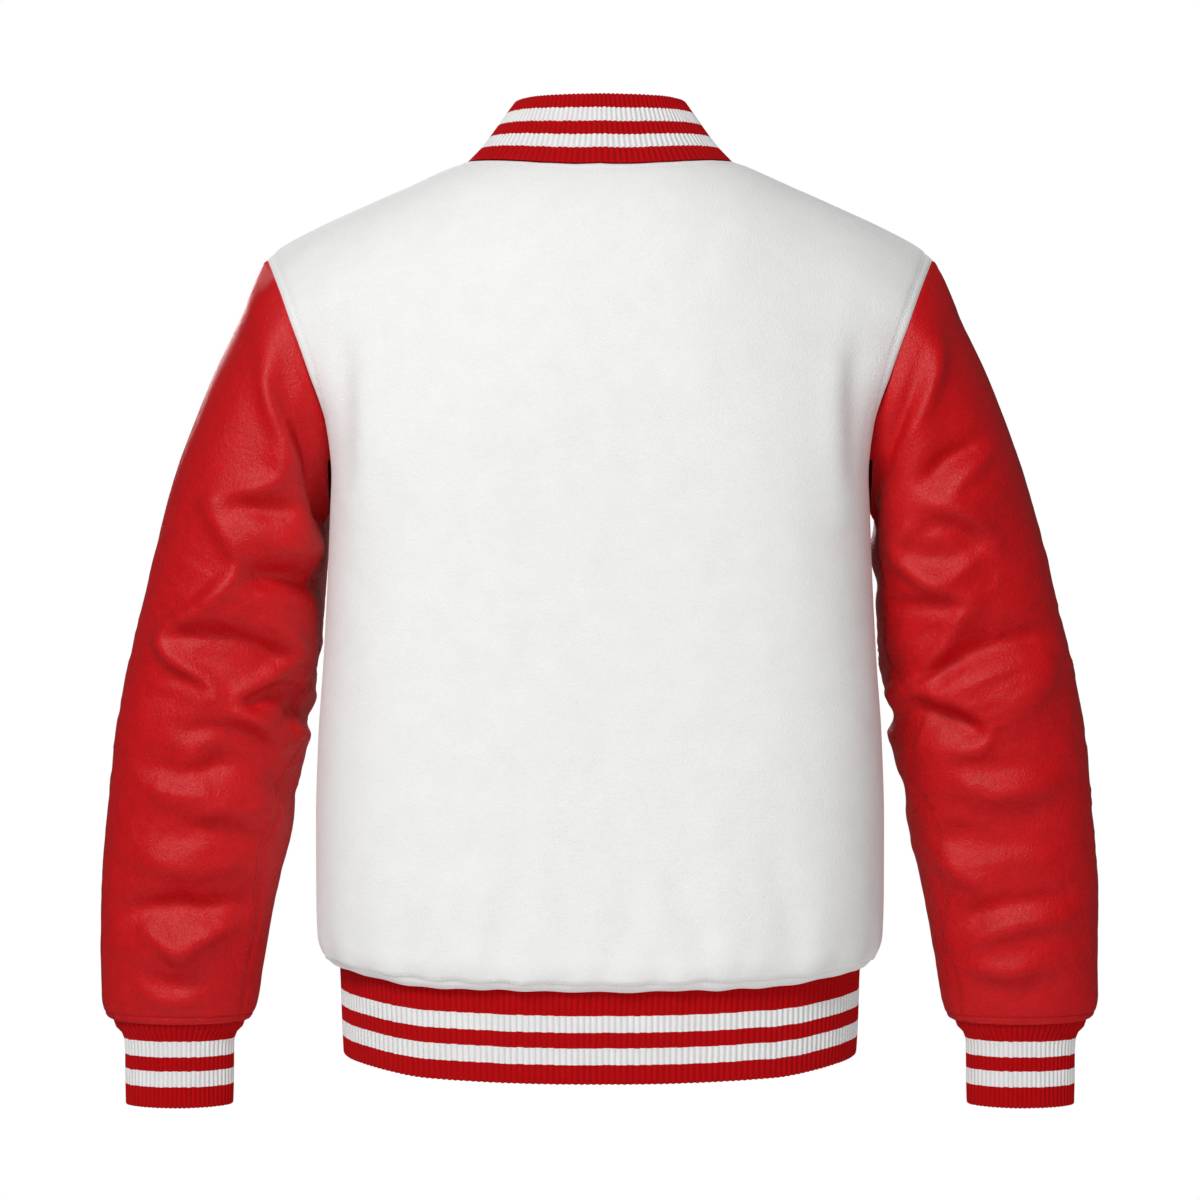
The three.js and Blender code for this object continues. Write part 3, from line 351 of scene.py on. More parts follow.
def new_group(name, inputs, outputs):
    """A shader node group with number inputs, given with their values, and number outputs."""
    group = bpy.data.node_groups.new(name, "ShaderNodeTree")
    for label, value in inputs.items():
        socket = group.interface.new_socket(label, in_out="INPUT", socket_type="NodeSocketFloat")
        socket.default_value = value
    for label in outputs:
        group.interface.new_socket(label, in_out="OUTPUT", socket_type="NodeSocketFloat")
    return group, group.nodes.new("NodeGroupInput"), group.nodes.new("NodeGroupOutput")


# Short fibres that stand off a napped or knitted cloth: a fine height, and a faint mottling of the shade
fuzz_group, given, out = new_group("fibre_fuzz", {"Scale": 900, "Mottling": 0.04}, ("Height", "Shade"))
coords = node(fuzz_group, "TexCoord").outputs["Object"]
fine = node(fuzz_group, "TexNoise", {"Vector": coords, "Scale": given.outputs["Scale"], "Detail": 4})
broad = node(fuzz_group, "TexNoise", {"Vector": coords, "Scale": 55, "Detail": 5})
both = maths(fuzz_group, "ADD", fine.outputs[0], broad.outputs[0])
shade = maths(fuzz_group, "ADD", both, -1.0)
shade = maths(fuzz_group, "MULTIPLY_ADD", shade, given.outputs["Mottling"], 1.0)
fuzz_group.links.new(fine.outputs[0], out.inputs["Height"])
fuzz_group.links.new(shade, out.inputs["Shade"])


def place_group(tree, group, **values):
    made = tree.nodes.new("ShaderNodeGroup")
    made.node_tree = group
    for key, value in values.items():
        made.inputs[key].default_value = value
    return made


def shaded(tree, colour, shade):
    """A colour made lighter or darker by a shade near 1."""
    made = node(tree, "Mix", data_type="RGBA", blend_type="MULTIPLY")
    made.inputs["Factor"].default_value = 1
    if isinstance(colour, bpy.types.NodeSocket):
        tree.links.new(colour, made.inputs["A"])
    else:
        made.inputs["A"].default_value = (*colour, 1)
    tree.links.new(shade, made.inputs["B"])
    return made.outputs["Result"]


WOOL_WHITE = (0.81, 0.806, 0.8)
wool, tree, surface = new_material("melton_wool")
fuzz = place_group(tree, fuzz_group, Scale=800, Mottling=0.08)
tree.links.new(shaded(tree, WOOL_WHITE, fuzz.outputs["Shade"]), surface.inputs["Base Color"])
tree.links.new(bumped(tree, fuzz.outputs["Height"], 0.7, 0.0008), surface.inputs["Normal"])
surface.inputs["Roughness"].default_value = 0.95
surface.inputs["Sheen Weight"].default_value = 0.25
surface.inputs["Sheen Roughness"].default_value = 0.5


def side_columns(count):
    """Values of u from the neck point to the side seam, evenly spaced round the body at the waist."""
    fine_u = NECK_U + (1 - NECK_U) * np.sin(np.linspace(0, np.pi / 2, 600)) ** 0.8
    middle = body_form("back", fine_u, np.full(600, -0.5))
    length = np.concatenate([[0], np.cumsum(np.linalg.norm(np.diff(middle, axis=0), axis=-1))])
    near_edge = length[-1] - np.array([0, 0.7, 1.6, 2.8, 4.4, 6.4])
    even = np.linspace(0, near_edge[-1], count)
    return np.interp(np.concatenate([even, near_edge[-2::-1]]), length, fine_u)


def body_columns():
    """Values of u from the centre to the side seam."""
    neck = NECK_U * np.sin(np.linspace(0, np.pi / 2, 27)[:-1])
    return np.concatenate([neck, side_columns(50)])


def body_levels():
    """Levels up the body, closer together near the hem seam and the top edge."""
    low = HEM_TOP + np.array([0, 0.7, 1.5, 2.5, 3.8, 5.4, 7.4, 9.8])
    above = np.linspace(low[-1] + 3.4, ARMPIT_Z, 92)
    below = -(ARMPIT_Z - np.concatenate([low, above])) / (ARMPIT_Z - HEM_TOP)
    up = np.linspace(0, 0.975, 66)[1:]
    return np.concatenate([below, up, [0.982, 0.988, 0.993, 0.997, 1]])


def seam_lines(face):
    """The lines of a panel's armhole, neck, shoulder seam and side seam, on the wearer's left."""
    rise = np.linspace(0, 1, 90)
    armhole = body_form(face, np.ones(90), rise)
    turn = np.radians(np.linspace(0, 90, 60))
    neck = body_form(face, NECK_U * np.sin(turn), np.ones(60))
    shoulder = body_form(face, np.linspace(NECK_U, 1, 40), np.ones(40))
    side = body_form(face, np.ones(60), np.linspace(-1, 0, 60))
    return armhole, neck, shoulder, side


def body_panel(face, name, across, tuck, seed):
    """A wool panel with its folds, gathers, turned-in edges and stitched-down seams. Returns its grid too."""
    sign = FACES[face][0]
    u, level = np.meshgrid(across, body_levels())
    form = body_form(face, u, level)
    blend = 0.25 * np.exp(-(((form[..., 2] - ARMPIT_Z) / 34) ** 2)) * smooth(1 - np.abs(u), 0.004, 0.12)
    # The body passes smoothly into the part above the armpits
    for _ in range(160):
        bend = form[:-2] - 2 * form[1:-1] + form[2:]
        form[1:-1] += blend[1:-1, :, None] * bend
    normal = grid_normals(form)
    normal *= np.sign((normal[40, len(across) // 2] * (0, sign, 0)).sum())
    on_left = form.copy()
    on_left[..., 0] = np.abs(on_left[..., 0])
    armhole, neck, shoulder, side = seam_lines(face)
    to_armhole, to_neck = distance(on_left, armhole), distance(on_left, neck)
    to_shoulder = distance(on_left, shoulder, 12)
    to_edge = np.minimum(np.minimum(to_armhole, to_neck), to_shoulder)
    to_edge = np.minimum(to_edge, distance(on_left, side, 12))
    above = form[..., 2] - HEM_TOP
    folds = [stroke[1:] for stroke in DRAPES if stroke[0] == sign]
    wave = np.cos(GATHERS * np.arctan2(form[..., 1], form[..., 0] * 0.8) + 1.3 * np.sin(form[..., 0] / 31))
    gathers = GATHER_DEPTH * wave * np.exp(-above / GATHER_REACH) * smooth(above, 1, 9)
    lift = stroke_lift(folds, form) + gathers
    girth = np.cumsum(np.linalg.norm(np.diff(form, axis=1, prepend=form[:, :1]), axis=-1), 1)
    height = form[..., 2]
    small = soft_noise(girth / 13 + 3, height / 24, seed) * np.exp(-above / 17) * smooth(above, 2, 8)
    broad = soft_noise(girth / 34 + 5, height / 70, seed + 4) * np.exp(-above / 30)
    lift += 1.8 * small + 2 * broad * smooth(above, 2, 10)
    for step, (high, wide, tall, start, full) in enumerate(RIPPLES, 1):
        lift += high * soft_noise(girth / wide, height / tall, seed + step) * smooth(to_edge, start, full)
    pull = soft_noise(girth / 9, height / 9, seed + 3)
    lift += 0.22 * pull * np.exp(-to_edge / 9)
    fade = smooth(1 - np.abs(u), 0, 0.03) * smooth(to_shoulder, 0, 11)
    if face == "front":
        fade = fade * smooth(np.abs(form[..., 0]), 16, 44)
    lift *= fade
    insets = {"armhole": to_armhole, "neck": to_neck, "hem": above}
    for seam, (inset, deep) in STITCHED_DOWN.items():
        lift -= deep * np.exp(-(((insets[seam] - inset) / DENT_WIDTH) ** 2)) * (1 + 0.3 * pull)
    to_edge = np.minimum(to_edge, above)
    lift -= 0.6 * np.exp(-((to_edge / TURNED_EDGE) ** 2))
    form[..., 2] += hem_rise(np.abs(u)) * np.exp(-((above / 70) ** 2))
    surface_points = form + normal * (lift - tuck(u))[..., None]
    scallop = soft_noise(girth / 31 + 8, 0 * girth + 0.5, seed + 5) + 0.35 * wave
    surface_points[..., 2] -= (1.3 + 1.2 * scallop) * np.exp(-above / 14) * fade
    inner = form + normal * (np.where(to_edge < 3, 0, lift) - tuck(u) - WOOL)[..., None]
    for grid in (surface_points, inner):
        sewn = (np.abs(u) > 0.9999) | ((level > 0.9999) & (np.abs(u) >= NECK_U))
        grid[..., 1] = np.where(sewn, sign * SEAM_PARTING + grid[..., 1], grid[..., 1])
    panel = cloth(name, surface_points, inner, wool)
    return panel, surface_points, normal, insets


def untucked(u):
    return 0 * u


half_columns = body_columns()
full_columns = np.concatenate([-half_columns[:0:-1], half_columns])
back, back_grid, back_normals, back_insets = body_panel("back", "wool_back", full_columns, untucked, 11)
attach(back, "root")
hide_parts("back")

# The two fronts, of the same wool. The left one lies on top at the centre and passes it, and the right one
# dips under it, so that the snaps can hold the two layers together.
OVERLAP = 12
LAYER_GAP = 0.9
TUCK_RAMP = 26

centre_edge = OVERLAP / SHOULDER_X
turned_edge = -centre_edge + np.array([0, 0.7, 1.6, 3, 5.5]) / SHOULDER_X
left_columns = np.concatenate([turned_edge, [-0.016, -0.008], half_columns])
front_left, left_grid, left_normals, left_insets = body_panel(
    "front", "wool_front_left", left_columns, untucked, 31
)

ramp_edge = (OVERLAP + TUCK_RAMP) / SHOULDER_X
under_columns = np.concatenate([-half_columns[:0:-1], np.linspace(0, centre_edge, 6)])


def under_tuck(u):
    return (WOOL + LAYER_GAP) * smooth(u, -ramp_edge, -centre_edge - 0.012)


front_right, right_grid, right_normals, right_insets = body_panel(
    "front", "wool_front_right", under_columns, under_tuck, 51
)
for front, cad_name in ((front_left, "front_left"), (front_right, "front_right")):
    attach(front, "root")
    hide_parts(cad_name)

# The two sleeves, each one piece of red cowhide leather rolled into a tube with a single seam under the arm.
# They hang a little bent and stacked, so hard-edged creases cross them, and they are gathered into the cuffs.
LEATHER = 1.8
ARMHOLE_GAP = -0.4
BODY_CLEARANCE = 4
WRIST_STITCHES = 6.3
UNDERARM_STITCHES = 4
# Along, outer edge x and z, inner edge x and z, middle's y, swell of back and front
SLEEVE = np.array([
    (0, 250, -70.5, 200, -262, 1, 68, 62),
    (0.03, 262, -83.3, 201.6, -266, 0, 72.1, 67.1),
    (0.08, 274, -109.6, 201.8, -279, -2, 76.8, 71.8),
    (0.16, 291.8, -151.6, 203.4, -301, -4, 80.8, 76.8),
    (0.25, 309.1, -201.6, 204.6, -325, -6, 81.8, 78.8),
    (0.34, 324.9, -251.6, 206.3, -349, -8, 78.8, 77.8),
    (0.43, 338.6, -301.6, 208.9, -373, -9, 74.8, 74.8),
    (0.52, 350.9, -351.6, 215.1, -399, -11, 70.8, 69.8),
    (0.61, 361.8, -402.6, 220.8, -433, -13, 67.8, 65.8),
    (0.7, 369.8, -454.6, 229.2, -475, -16, 63.8, 61.8),
    (0.79, 374.4, -505.6, 238.1, -521, -20, 58.8, 56.8),
    (0.87, 378, -553.6, 248.6, -565, -24, 52.8, 51.8),
    (0.93, 378.7, -595.6, 255.5, -602, -27, 46.8, 45.8),
    (0.97, 378.7, -626, 259.8, -629, -29, 40.8, 39.8),
    (0.99, 376.4, -638.8, 263.2, -640, -30, 37.8, 36.8),
    (1, 371.2, -644.4, 267.2, -645, -30, 35.3, 34.3),
])
# The broad folds on the back (1) and the front (-1) of each sleeve, as seen from behind: height, width, line
BROAD_FOLDS = {
    ("left", 1): [
        (5, 15, (243, -120), (236, -190), (226, -268)),
        (-4.5, 13, (226, -150), (216, -200), (208, -262)),
        (4.5, 16, (268, -272), (244, -288), (214, -268)),
        (-4, 14, (272, -305), (240, -308), (212, -312)),
        (5, 15, (322, -362), (290, -335), (262, -322)),
        (-5.5, 16, (318, -368), (270, -370), (222, -384)),
        (5, 13, (322, -366), (300, -400), (280, -412)),
        (-3.5, 13, (346, -398), (314, -396), (288, -408)),
        (4.5, 12, (262, -420), (238, -404), (222, -402)),
        (4.5, 13, (312, -462), (306, -440), (280, -416)),
        (-5, 15, (304, -448), (270, -446), (238, -458)),
        (3.5, 14, (300, -482), (262, -484), (240, -464)),
        (3.5, 15, (348, -512), (318, -520), (292, -506)),
        (-4, 15, (352, -566), (316, -560), (278, -556)),
        (4, 16, (354, -582), (328, -590), (290, -572)),
    ],
    ("left", -1): [
        (4.5, 15, (246, -130), (238, -200), (224, -280)),
        (-5, 17, (324, -320), (280, -345), (226, -352)),
        (5, 15, (334, -352), (300, -372), (246, -390)),
        (-5, 16, (348, -412), (300, -420), (244, -440)),
        (4, 15, (344, -455), (310, -462), (262, -448)),
        (-4, 16, (352, -530), (316, -545), (270, -540)),
        (3.5, 15, (350, -580), (318, -585), (282, -575)),
    ],
    ("right", 1): [
        (5, 14, (240, -128), (246, -190), (218, -252)),
        (-4.5, 14, (232, -165), (222, -205), (208, -258)),
        (4.5, 17, (296, -238), (266, -266), (228, -262)),
        (-4.5, 15, (300, -306), (262, -288), (222, -308)),
        (4, 14, (272, -340), (248, -328), (222, -330)),
        (-4, 14, (300, -348), (258, -352), (226, -344)),
        (-5, 16, (330, -362), (288, -366), (246, -382)),
        (5, 17, (338, -372), (316, -396), (270, -402)),
        (-5, 13, (290, -428), (262, -416), (230, -414)),
        (3.5, 14, (296, -442), (270, -448), (246, -436)),
        (3.5, 14, (346, -442), (318, -454), (296, -470)),
        (-3.5, 15, (334, -488), (304, -494), (272, -500)),
        (3.5, 15, (342, -508), (312, -518), (278, -510)),
        (3.5, 15, (350, -546), (322, -556), (284, -560)),
        (3.5, 14, (346, -592), (318, -606), (284, -594)),
    ],
    ("right", -1): [
        (4.5, 15, (242, -125), (244, -190), (224, -270)),
        (-5, 17, (320, -310), (276, -335), (226, -345)),
        (5, 15, (336, -350), (298, -366), (246, -384)),
        (-5, 16, (350, -402), (304, -412), (240, -428)),
        (4, 15, (344, -448), (306, -458), (258, -440)),
        (-4, 16, (352, -522), (314, -536), (270, -530)),
        (3.5, 15, (350, -576), (316, -582), (280, -570)),
    ],
}
# The sharp creases, by height, width and line, placed on the photograph's pixels
SHARP_CREASES = {
    "left": [
        (3, 6, (286, 337), (271, 368), (268, 395), (276, 422), (298, 463)),
        (-4, 8, (284, 376), (298, 434), (322, 477)),
        (-5, 9, (326, 476), (331, 498), (328, 522)),
        (1.2, 5, (254, 288), (259, 322)),
        (2.8, 6, (279, 451), (281, 478), (250, 492), (211, 502)),
        (-3, 6, (230, 502), (262, 511), (293, 509)),
        (2.8, 6.5, (211, 509), (235, 550), (240, 568), (211, 603)),
        (-4, 7, (250, 579), (286, 579), (322, 584)),
        (2, 7, (286, 549), (303, 547), (320, 551)),
        (3, 5.5, (234, 578), (200, 610), (163, 632), (168, 654), (205, 679), (214, 694)),
        (1.5, 7, (212, 696), (188, 718), (172, 740)),
        (-3.5, 6, (176, 635), (205, 635), (241, 640), (285, 662)),
        (3, 5.5, (269, 622), (296, 642), (297, 664), (259, 685), (232, 702), (259, 726), (280, 746)),
        (-4, 6, (241, 703), (270, 694), (309, 692)),
        (-6.5, 8, (286, 706), (300, 710), (322, 712)),
        (3, 7, (292, 730), (312, 732)),
        (-4, 8, (268, 786), (286, 790), (306, 792)),
        (-3, 6, (184, 731), (214, 728), (241, 733), (267, 744)),
        (-2.5, 5, (166, 674), (187, 681), (205, 689)),
        (2.6, 8, (150, 786), (182, 800), (212, 790)),
        (-2.2, 7, (152, 768), (186, 776), (226, 768)),
        (1.6, 5, (196, 815), (232, 806)),
        (-2, 7, (176, 836), (214, 830), (246, 838)),
        (2, 7, (150, 862), (190, 872), (230, 864)),
        (3, 6, (143, 923), (160, 936), (178, 952), (179, 962)),
        (3, 6, (231, 918), (208, 932), (183, 950)),
        (-3, 7, (130, 912), (176, 905), (204, 914), (244, 904)),
        (2.6, 6, (143, 988), (160, 1002), (182, 1004), (202, 992)),
        (-2.2, 6, (150, 980), (176, 990), (206, 986)),
    ],
    "right": [
        (3, 6, (920, 320), (933, 340), (934, 370), (918, 414), (888, 461)),
        (-4, 8, (913, 349), (906, 390), (886, 440), (870, 474)),
        (1.2, 5, (937, 272), (946, 296), (949, 313)),
        (-3, 6, (927, 477), (946, 459), (976, 444)),
        (2.4, 6, (949, 494), (966, 473), (985, 453)),
        (2.4, 6, (925, 499), (960, 512), (985, 533), (995, 550)),
        (-3, 6, (920, 526), (949, 524), (985, 543)),
        (2.4, 6, (915, 524), (897, 542), (896, 558)),
        (2.6, 6, (901, 562), (920, 574), (948, 580), (976, 562)),
        (2.4, 5.5, (901, 564), (926, 584), (976, 601)),
        (-3.5, 6, (894, 605), (925, 607), (956, 607)),
        (3, 6, (965, 614), (950, 636), (926, 671), (899, 692)),
        (-3, 7, (929, 676), (960, 662), (1000, 646), (1042, 634)),
        (2.2, 8, (926, 692), (965, 681), (1046, 644)),
        (1.8, 9, (1048, 660), (1036, 690), (1010, 712), (997, 721)),
        (-3.5, 6, (911, 706), (940, 714), (979, 726)),
        (2.6, 5.5, (929, 699), (965, 708), (992, 728), (979, 748), (954, 753)),
        (-2, 9, (872, 660), (886, 664), (900, 672)),
        (1.8, 8, (884, 694), (900, 700), (914, 706)),
        (-1.6, 8, (888, 722), (900, 726), (916, 734)),
        (2.4, 8, (960, 780), (1000, 798), (1048, 786)),
        (-2.2, 7, (950, 760), (996, 770), (1052, 762)),
        (3, 7, (944, 858), (962, 874), (984, 884)),
        (-2.6, 8, (950, 838), (994, 848), (1056, 840)),
        (3, 7, (974, 940), (1010, 924), (1066, 915)),
        (-3, 7, (966, 918), (1006, 906), (1062, 898)),
        (2, 6, (978, 966), (1004, 974), (1030, 966)),
        (-1.6, 8, (990, 994), (1020, 989), (1046, 986)),
    ],
}
# How much deeper and wider the leather's creases are than the table says
SHARPEN = 2.2
WIDEN = 1.35
# How much of the other sleeve's sharp creases this one's front has
FRONT_SHARE = 0.8
# The size of a pixel in millimetres, and the pixels of the centre line and of the origin's height
PIXEL = 0.75
CENTRE_PIXEL = 599.5
LEVEL_PIXEL = 165
# The underarm seam: share along the sleeve, and its turn from the outer edge over the back
UNDERARM = {
    "left": np.array([
        (0, 180), (0.3, 178), (0.6, 165), (0.66, 158), (0.72, 150), (0.78, 142), (0.83, 146), (0.87, 153),
        (0.93, 149), (1, 151),
    ]),
    "right": np.array([
        (0, 180), (0.3, 155), (0.42, 165), (0.52, 141), (0.56, 140), (0.66, 152), (0.74, 142), (0.83, 144),
        (0.9, 158), (0.94, 146), (1, 148),
    ]),
}

LEATHER_RED = (0.54, 0.0012, 0.004)
leather, tree, surface = new_material("red_leather")
coords = node(tree, "TexCoord").outputs["Object"]
grain = node(tree, "TexVoronoi", {"Vector": coords, "Scale": 1250, "Randomness": 1.0}).outputs[0]
pebbles = node(tree, "TexNoise", {"Vector": coords, "Scale": 420, "Detail": 5, "Roughness": 0.6}).outputs[0]
creasing = node(tree, "TexNoise", {"Vector": coords, "Scale": 85, "Detail": 6, "Distortion": 0.6}).outputs[0]
ridges = maths(tree, "ABSOLUTE", maths(tree, "SUBTRACT", creasing, 0.5))
tone = mapped(tree, creasing, 0.3, 0.7, 0.94, 1.06)
tree.links.new(shaded(tree, LEATHER_RED, tone), surface.inputs["Base Color"])
tree.links.new(mapped(tree, pebbles, 0.3, 0.7, 0.32, 0.43), surface.inputs["Roughness"])
deep = bumped(tree, ridges, 0.35, 0.002)
middling = bumped(tree, pebbles, 0.7, 0.0009, deep)
tree.links.new(bumped(tree, grain, 0.5, 0.0005, middling), surface.inputs["Normal"])
surface.inputs["Specular IOR Level"].default_value = 0.38


def body_side(y, z):
    """How wide the body is at a depth and height, for holding the sleeve off it."""
    level = np.clip(z, HEM_TOP, ARMPIT_Z)
    half, behind, before, square = read_table(BODY, level, 1, 2, 3, 4)
    deep = np.where(y > SIDE_SEAM_Y, behind, before)
    across = np.clip(np.abs(y - SIDE_SEAM_Y) / (deep - SIDE_SEAM_Y), 0, 0.97)
    return half * bow(across, square, square)


def sleeve_tube(turn, along):
    """A plain bent tube: turn 0 is its outer edge, 90 its back and 180 its inner edge."""
    out_x, out_z, in_x, in_z, mid_y, behind, before = read_table(SLEEVE, along, *range(1, 8))
    cos, sin = np.cos(np.radians(turn)), np.sin(np.radians(turn))
    x = (out_x + in_x) / 2 + (out_x - in_x) / 2 * cos
    y = mid_y + sin * np.where(sin > 0, behind, before)
    z = (out_z + in_z) / 2 + (out_z - in_z) / 2 * cos
    return np.stack([x, y, z], -1)


def armhole_ring(turn):
    turn = turn % 360
    behind = armhole_point("back", 1 - np.clip(turn, 0, 180) / 180)
    before = armhole_point("front", np.clip(turn - 180, 0, 180) / 180)
    return np.where((turn <= 180)[..., None], behind, before)


def sleeve_form(turn, along):
    """The smooth sleeve: the armhole's shape passes into the tube, which is kept clear of the body."""
    tube = sleeve_tube(turn, along)
    fade = 1 - smooth(along, 0, 0.3)
    tube += (armhole_ring(turn) - sleeve_tube(turn, 0 * along)) * fade[..., None]
    least = body_side(tube[..., 1], tube[..., 2]) + BODY_CLEARANCE * smooth(along, 0, 0.06)
    gap = tube[..., 0] - least
    held = (tube[..., 2] < ARMPIT_Z + 40) & (gap < 6)
    tube[..., 0] = np.where(held, least + 6 * np.exp(np.minimum(gap - 6, 0) / 6), tube[..., 0])
    return tube


def on_sleeve(strokes):
    """Sharp creases in millimetres from the picture's pixels."""
    placed = []
    for high, wide, *corners in strokes:
        high, wide = high * SHARPEN, wide * WIDEN
        line = [(abs(x - CENTRE_PIXEL) * PIXEL, (LEVEL_PIXEL - y) * PIXEL) for x, y in corners]
        placed.append((high, wide, *line))
    return placed


SLEEVE_TURNS = 168
SLEEVE_LENGTH = 585


def sleeve(which, seed):
    """A leather sleeve with its folds, creases, underarm seam and gathered end. Returns its grid too."""
    ends = np.array([0, 0.8, 1.8, 3.2, 5, 7.2]) / SLEEVE_LENGTH
    tail = 1 - np.array([9.5, 8.2, 7.2, 6.6, 6, 5, 3.8, 2.6, 1.6, 0.8, 0]) / SLEEVE_LENGTH
    rows = np.concatenate([ends, np.linspace(10 / SLEEVE_LENGTH, 1 - 12 / SLEEVE_LENGTH, 205), tail])
    columns = np.arange(SLEEVE_TURNS) * 360 / SLEEVE_TURNS
    turn, along = np.meshgrid(columns, rows)
    form = sleeve_form(turn, along)
    shoulder_side = np.exp(-(((180 - np.abs(turn - 180)) / 42) ** 2)) * smooth(along, 0.004, 0.06)
    # The outer edge runs smoothly over from the back of the sleeve to its front
    for _ in range(50):
        bend = np.roll(form, 1, 1) - 2 * form + np.roll(form, -1, 1)
        form += 0.25 * shoulder_side[..., None] * bend
    normal = grid_normals(form, closed=True)
    normal *= np.sign(normal[len(rows) // 2, 0, 0])
    behind = np.clip(0.5 + np.sin(np.radians(turn)) / 0.6, 0, 1)
    other = "right" if which == "left" else "left"
    own, others = on_sleeve(SHARP_CREASES[which]), on_sleeve(SHARP_CREASES[other])
    on_back = stroke_lift(BROAD_FOLDS[which, 1], form) + stroke_lift(own, form)
    on_front = stroke_lift(BROAD_FOLDS[which, -1], form) + FRONT_SHARE * stroke_lift(others, form)
    share = smooth(along, 0.02, 0.1) * (1 - smooth(along, 0.94, 1))
    lift = lerp(on_front, on_back, behind) * share
    down = along * SLEEVE_LENGTH
    stacked = 0.2 + smooth(along, 0.25, 0.45) - 0.55 * smooth(along, 0.72, 0.9)
    inner_side = 0.6 + 0.4 * np.clip(-np.cos(np.radians(turn)), -1, 1)
    ripple = 1 - np.abs(soft_noise(turn / 30, down / 26 + 0.6 * np.sin(np.radians(turn)), seed, 12)) * 2
    lift += 0.5 * ripple * stacked * inner_side * smooth(down, 6, 40) * smooth(SLEEVE_LENGTH - down, 8, 30)
    small = 1 - np.abs(soft_noise(turn / 15, down / 11, seed + 1, 24)) * 2
    lift += 0.4 * small * stacked * smooth(down, 5, 20) * smooth(SLEEVE_LENGTH - down, 7, 14)
    between_ends = smooth(down, 6, 40) * (1 - smooth(along, 0.94, 1))
    lift += 0.8 * soft_noise(turn / 60, down / 60, seed + 2, 6) * between_ends
    # The seams: the armhole's turned edge, the underarm seam's groove, and the gathers above the cuff
    pull = soft_noise(turn / 7.5, down / 12, seed + 3, 48)
    lift += 0.35 * pull * np.exp(-down / 9) * smooth(down, 0.5, 4)
    lift -= 0.7 * np.exp(-((down / 1.6) ** 2))
    seam_turn = read_table(UNDERARM[which], along, 1)[0]
    reach = np.radians(turn - seam_turn) * read_table(SLEEVE, along, 6)[0]
    puckers = soft_noise(along * 70, 0 * along + 0.5, seed + 4)
    lift -= (0.9 + 0.3 * puckers) * np.exp(-((reach / 1.5) ** 2)) * smooth(down, 2, 10)
    lift += 0.7 * puckers * np.exp(-np.abs(reach) / 7) * smooth(down, 6, 20) * (1 - smooth(along, 0.97, 1))
    end = SLEEVE_LENGTH - down
    wrist = soft_noise(turn / 9, 0 * turn + 0.5, seed + 5, 40)
    lift -= 0.8 * np.exp(-(((end - WRIST_STITCHES) / 1.1) ** 2))
    lift += 0.9 * wrist * np.exp(-end / 11) * smooth(end, 0, 2.5)
    lift -= 0.9 * np.exp(-((end / 1.4) ** 2))
    outer = form + normal * lift[..., None]
    inner = form + normal * (np.where((down < 3) | (end < 3), 0, lift) - LEATHER)[..., None]
    outer[:, :, 0] += ARMHOLE_GAP * np.exp(-down / 2)
    inner[:, :, 0] += ARMHOLE_GAP * np.exp(-down / 2)
    if which == "right":
        for grid in (outer, inner, normal):
            grid[..., 0] *= -1
    piece = cloth("leather_sleeve_" + which, outer, inner, leather, closed=True)
    return piece, outer, normal, reach, end


sleeves = {}
for which, seed in (("left", 71), ("right", 91)):
    sleeves[which] = sleeve(which, seed)
    piece = sleeves[which][0]
    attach(piece, "root")
    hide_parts("sleeve_" + which)

# The hem band: a doubled strip of rib knit, red with two white stripes, folded at its bottom edge and sewn to
# the wool. It goes once round the body, and its right end passes under its left end at the front.
KNIT = 3.4
RIB_DEPTH = 1.0
HEM_BOTTOM = -667
HEM = np.array([(HEM_TOP - SEAM_GAP, 193.4, 132.6, 116.8), (HEM_BOTTOM, 190.4, 132, 114.6)])
HEM_SQUARE = 2.65
HEM_RIBS = 252
HEM_GIRTH = 1128
HEM_STRIPES = (0.273, 0.448, 0.616, 0.791)
KNIT_RED = (0.48, 0.001, 0.003)
KNIT_WHITE = (0.87, 0.862, 0.86)
STITCH_ROW = 1.35
FOLD_STEPS = 6
RIB_POINTS = 6
# How much of the ribs' relief is left at the seam, and on the fold
PRESSED_FLAT = 0.35
STRETCHED_FLAT = 0.55

# Columns of small knitted stitches: each rib is a chain of V shapes. U counts the ribs, V the stitch rows.
# The group also gives a painted shade, darker in the grooves between the ribs
knit_group, given, out = new_group("knit_stitches_and_groove_shade", {"U": 0, "V": 0}, ("Height", "Painted Groove Shade"))
part = maths(knit_group, "FRACT", maths(knit_group, "ADD", given.outputs["U"], 0.5))
aside = maths(knit_group, "ABSOLUTE", maths(knit_group, "SUBTRACT", part, 0.5))
slant = maths(knit_group, "MULTIPLY_ADD", aside, -1.6, given.outputs["V"])
loops = maths(knit_group, "SINE", maths(knit_group, "MULTIPLY", slant, 2 * math.pi))
height = maths(knit_group, "MULTIPLY", loops, mapped(knit_group, aside, 0.0, 0.09, 0.0, 1.0))
knit_group.links.new(height, out.inputs["Height"])
# Painted shade: the colour darkens to 0.74 towards the middle of the grooves between the ribs
knit_group.links.new(mapped(knit_group, aside, 0.26, 0.5, 1.0, 0.74), out.inputs["Painted Groove Shade"])


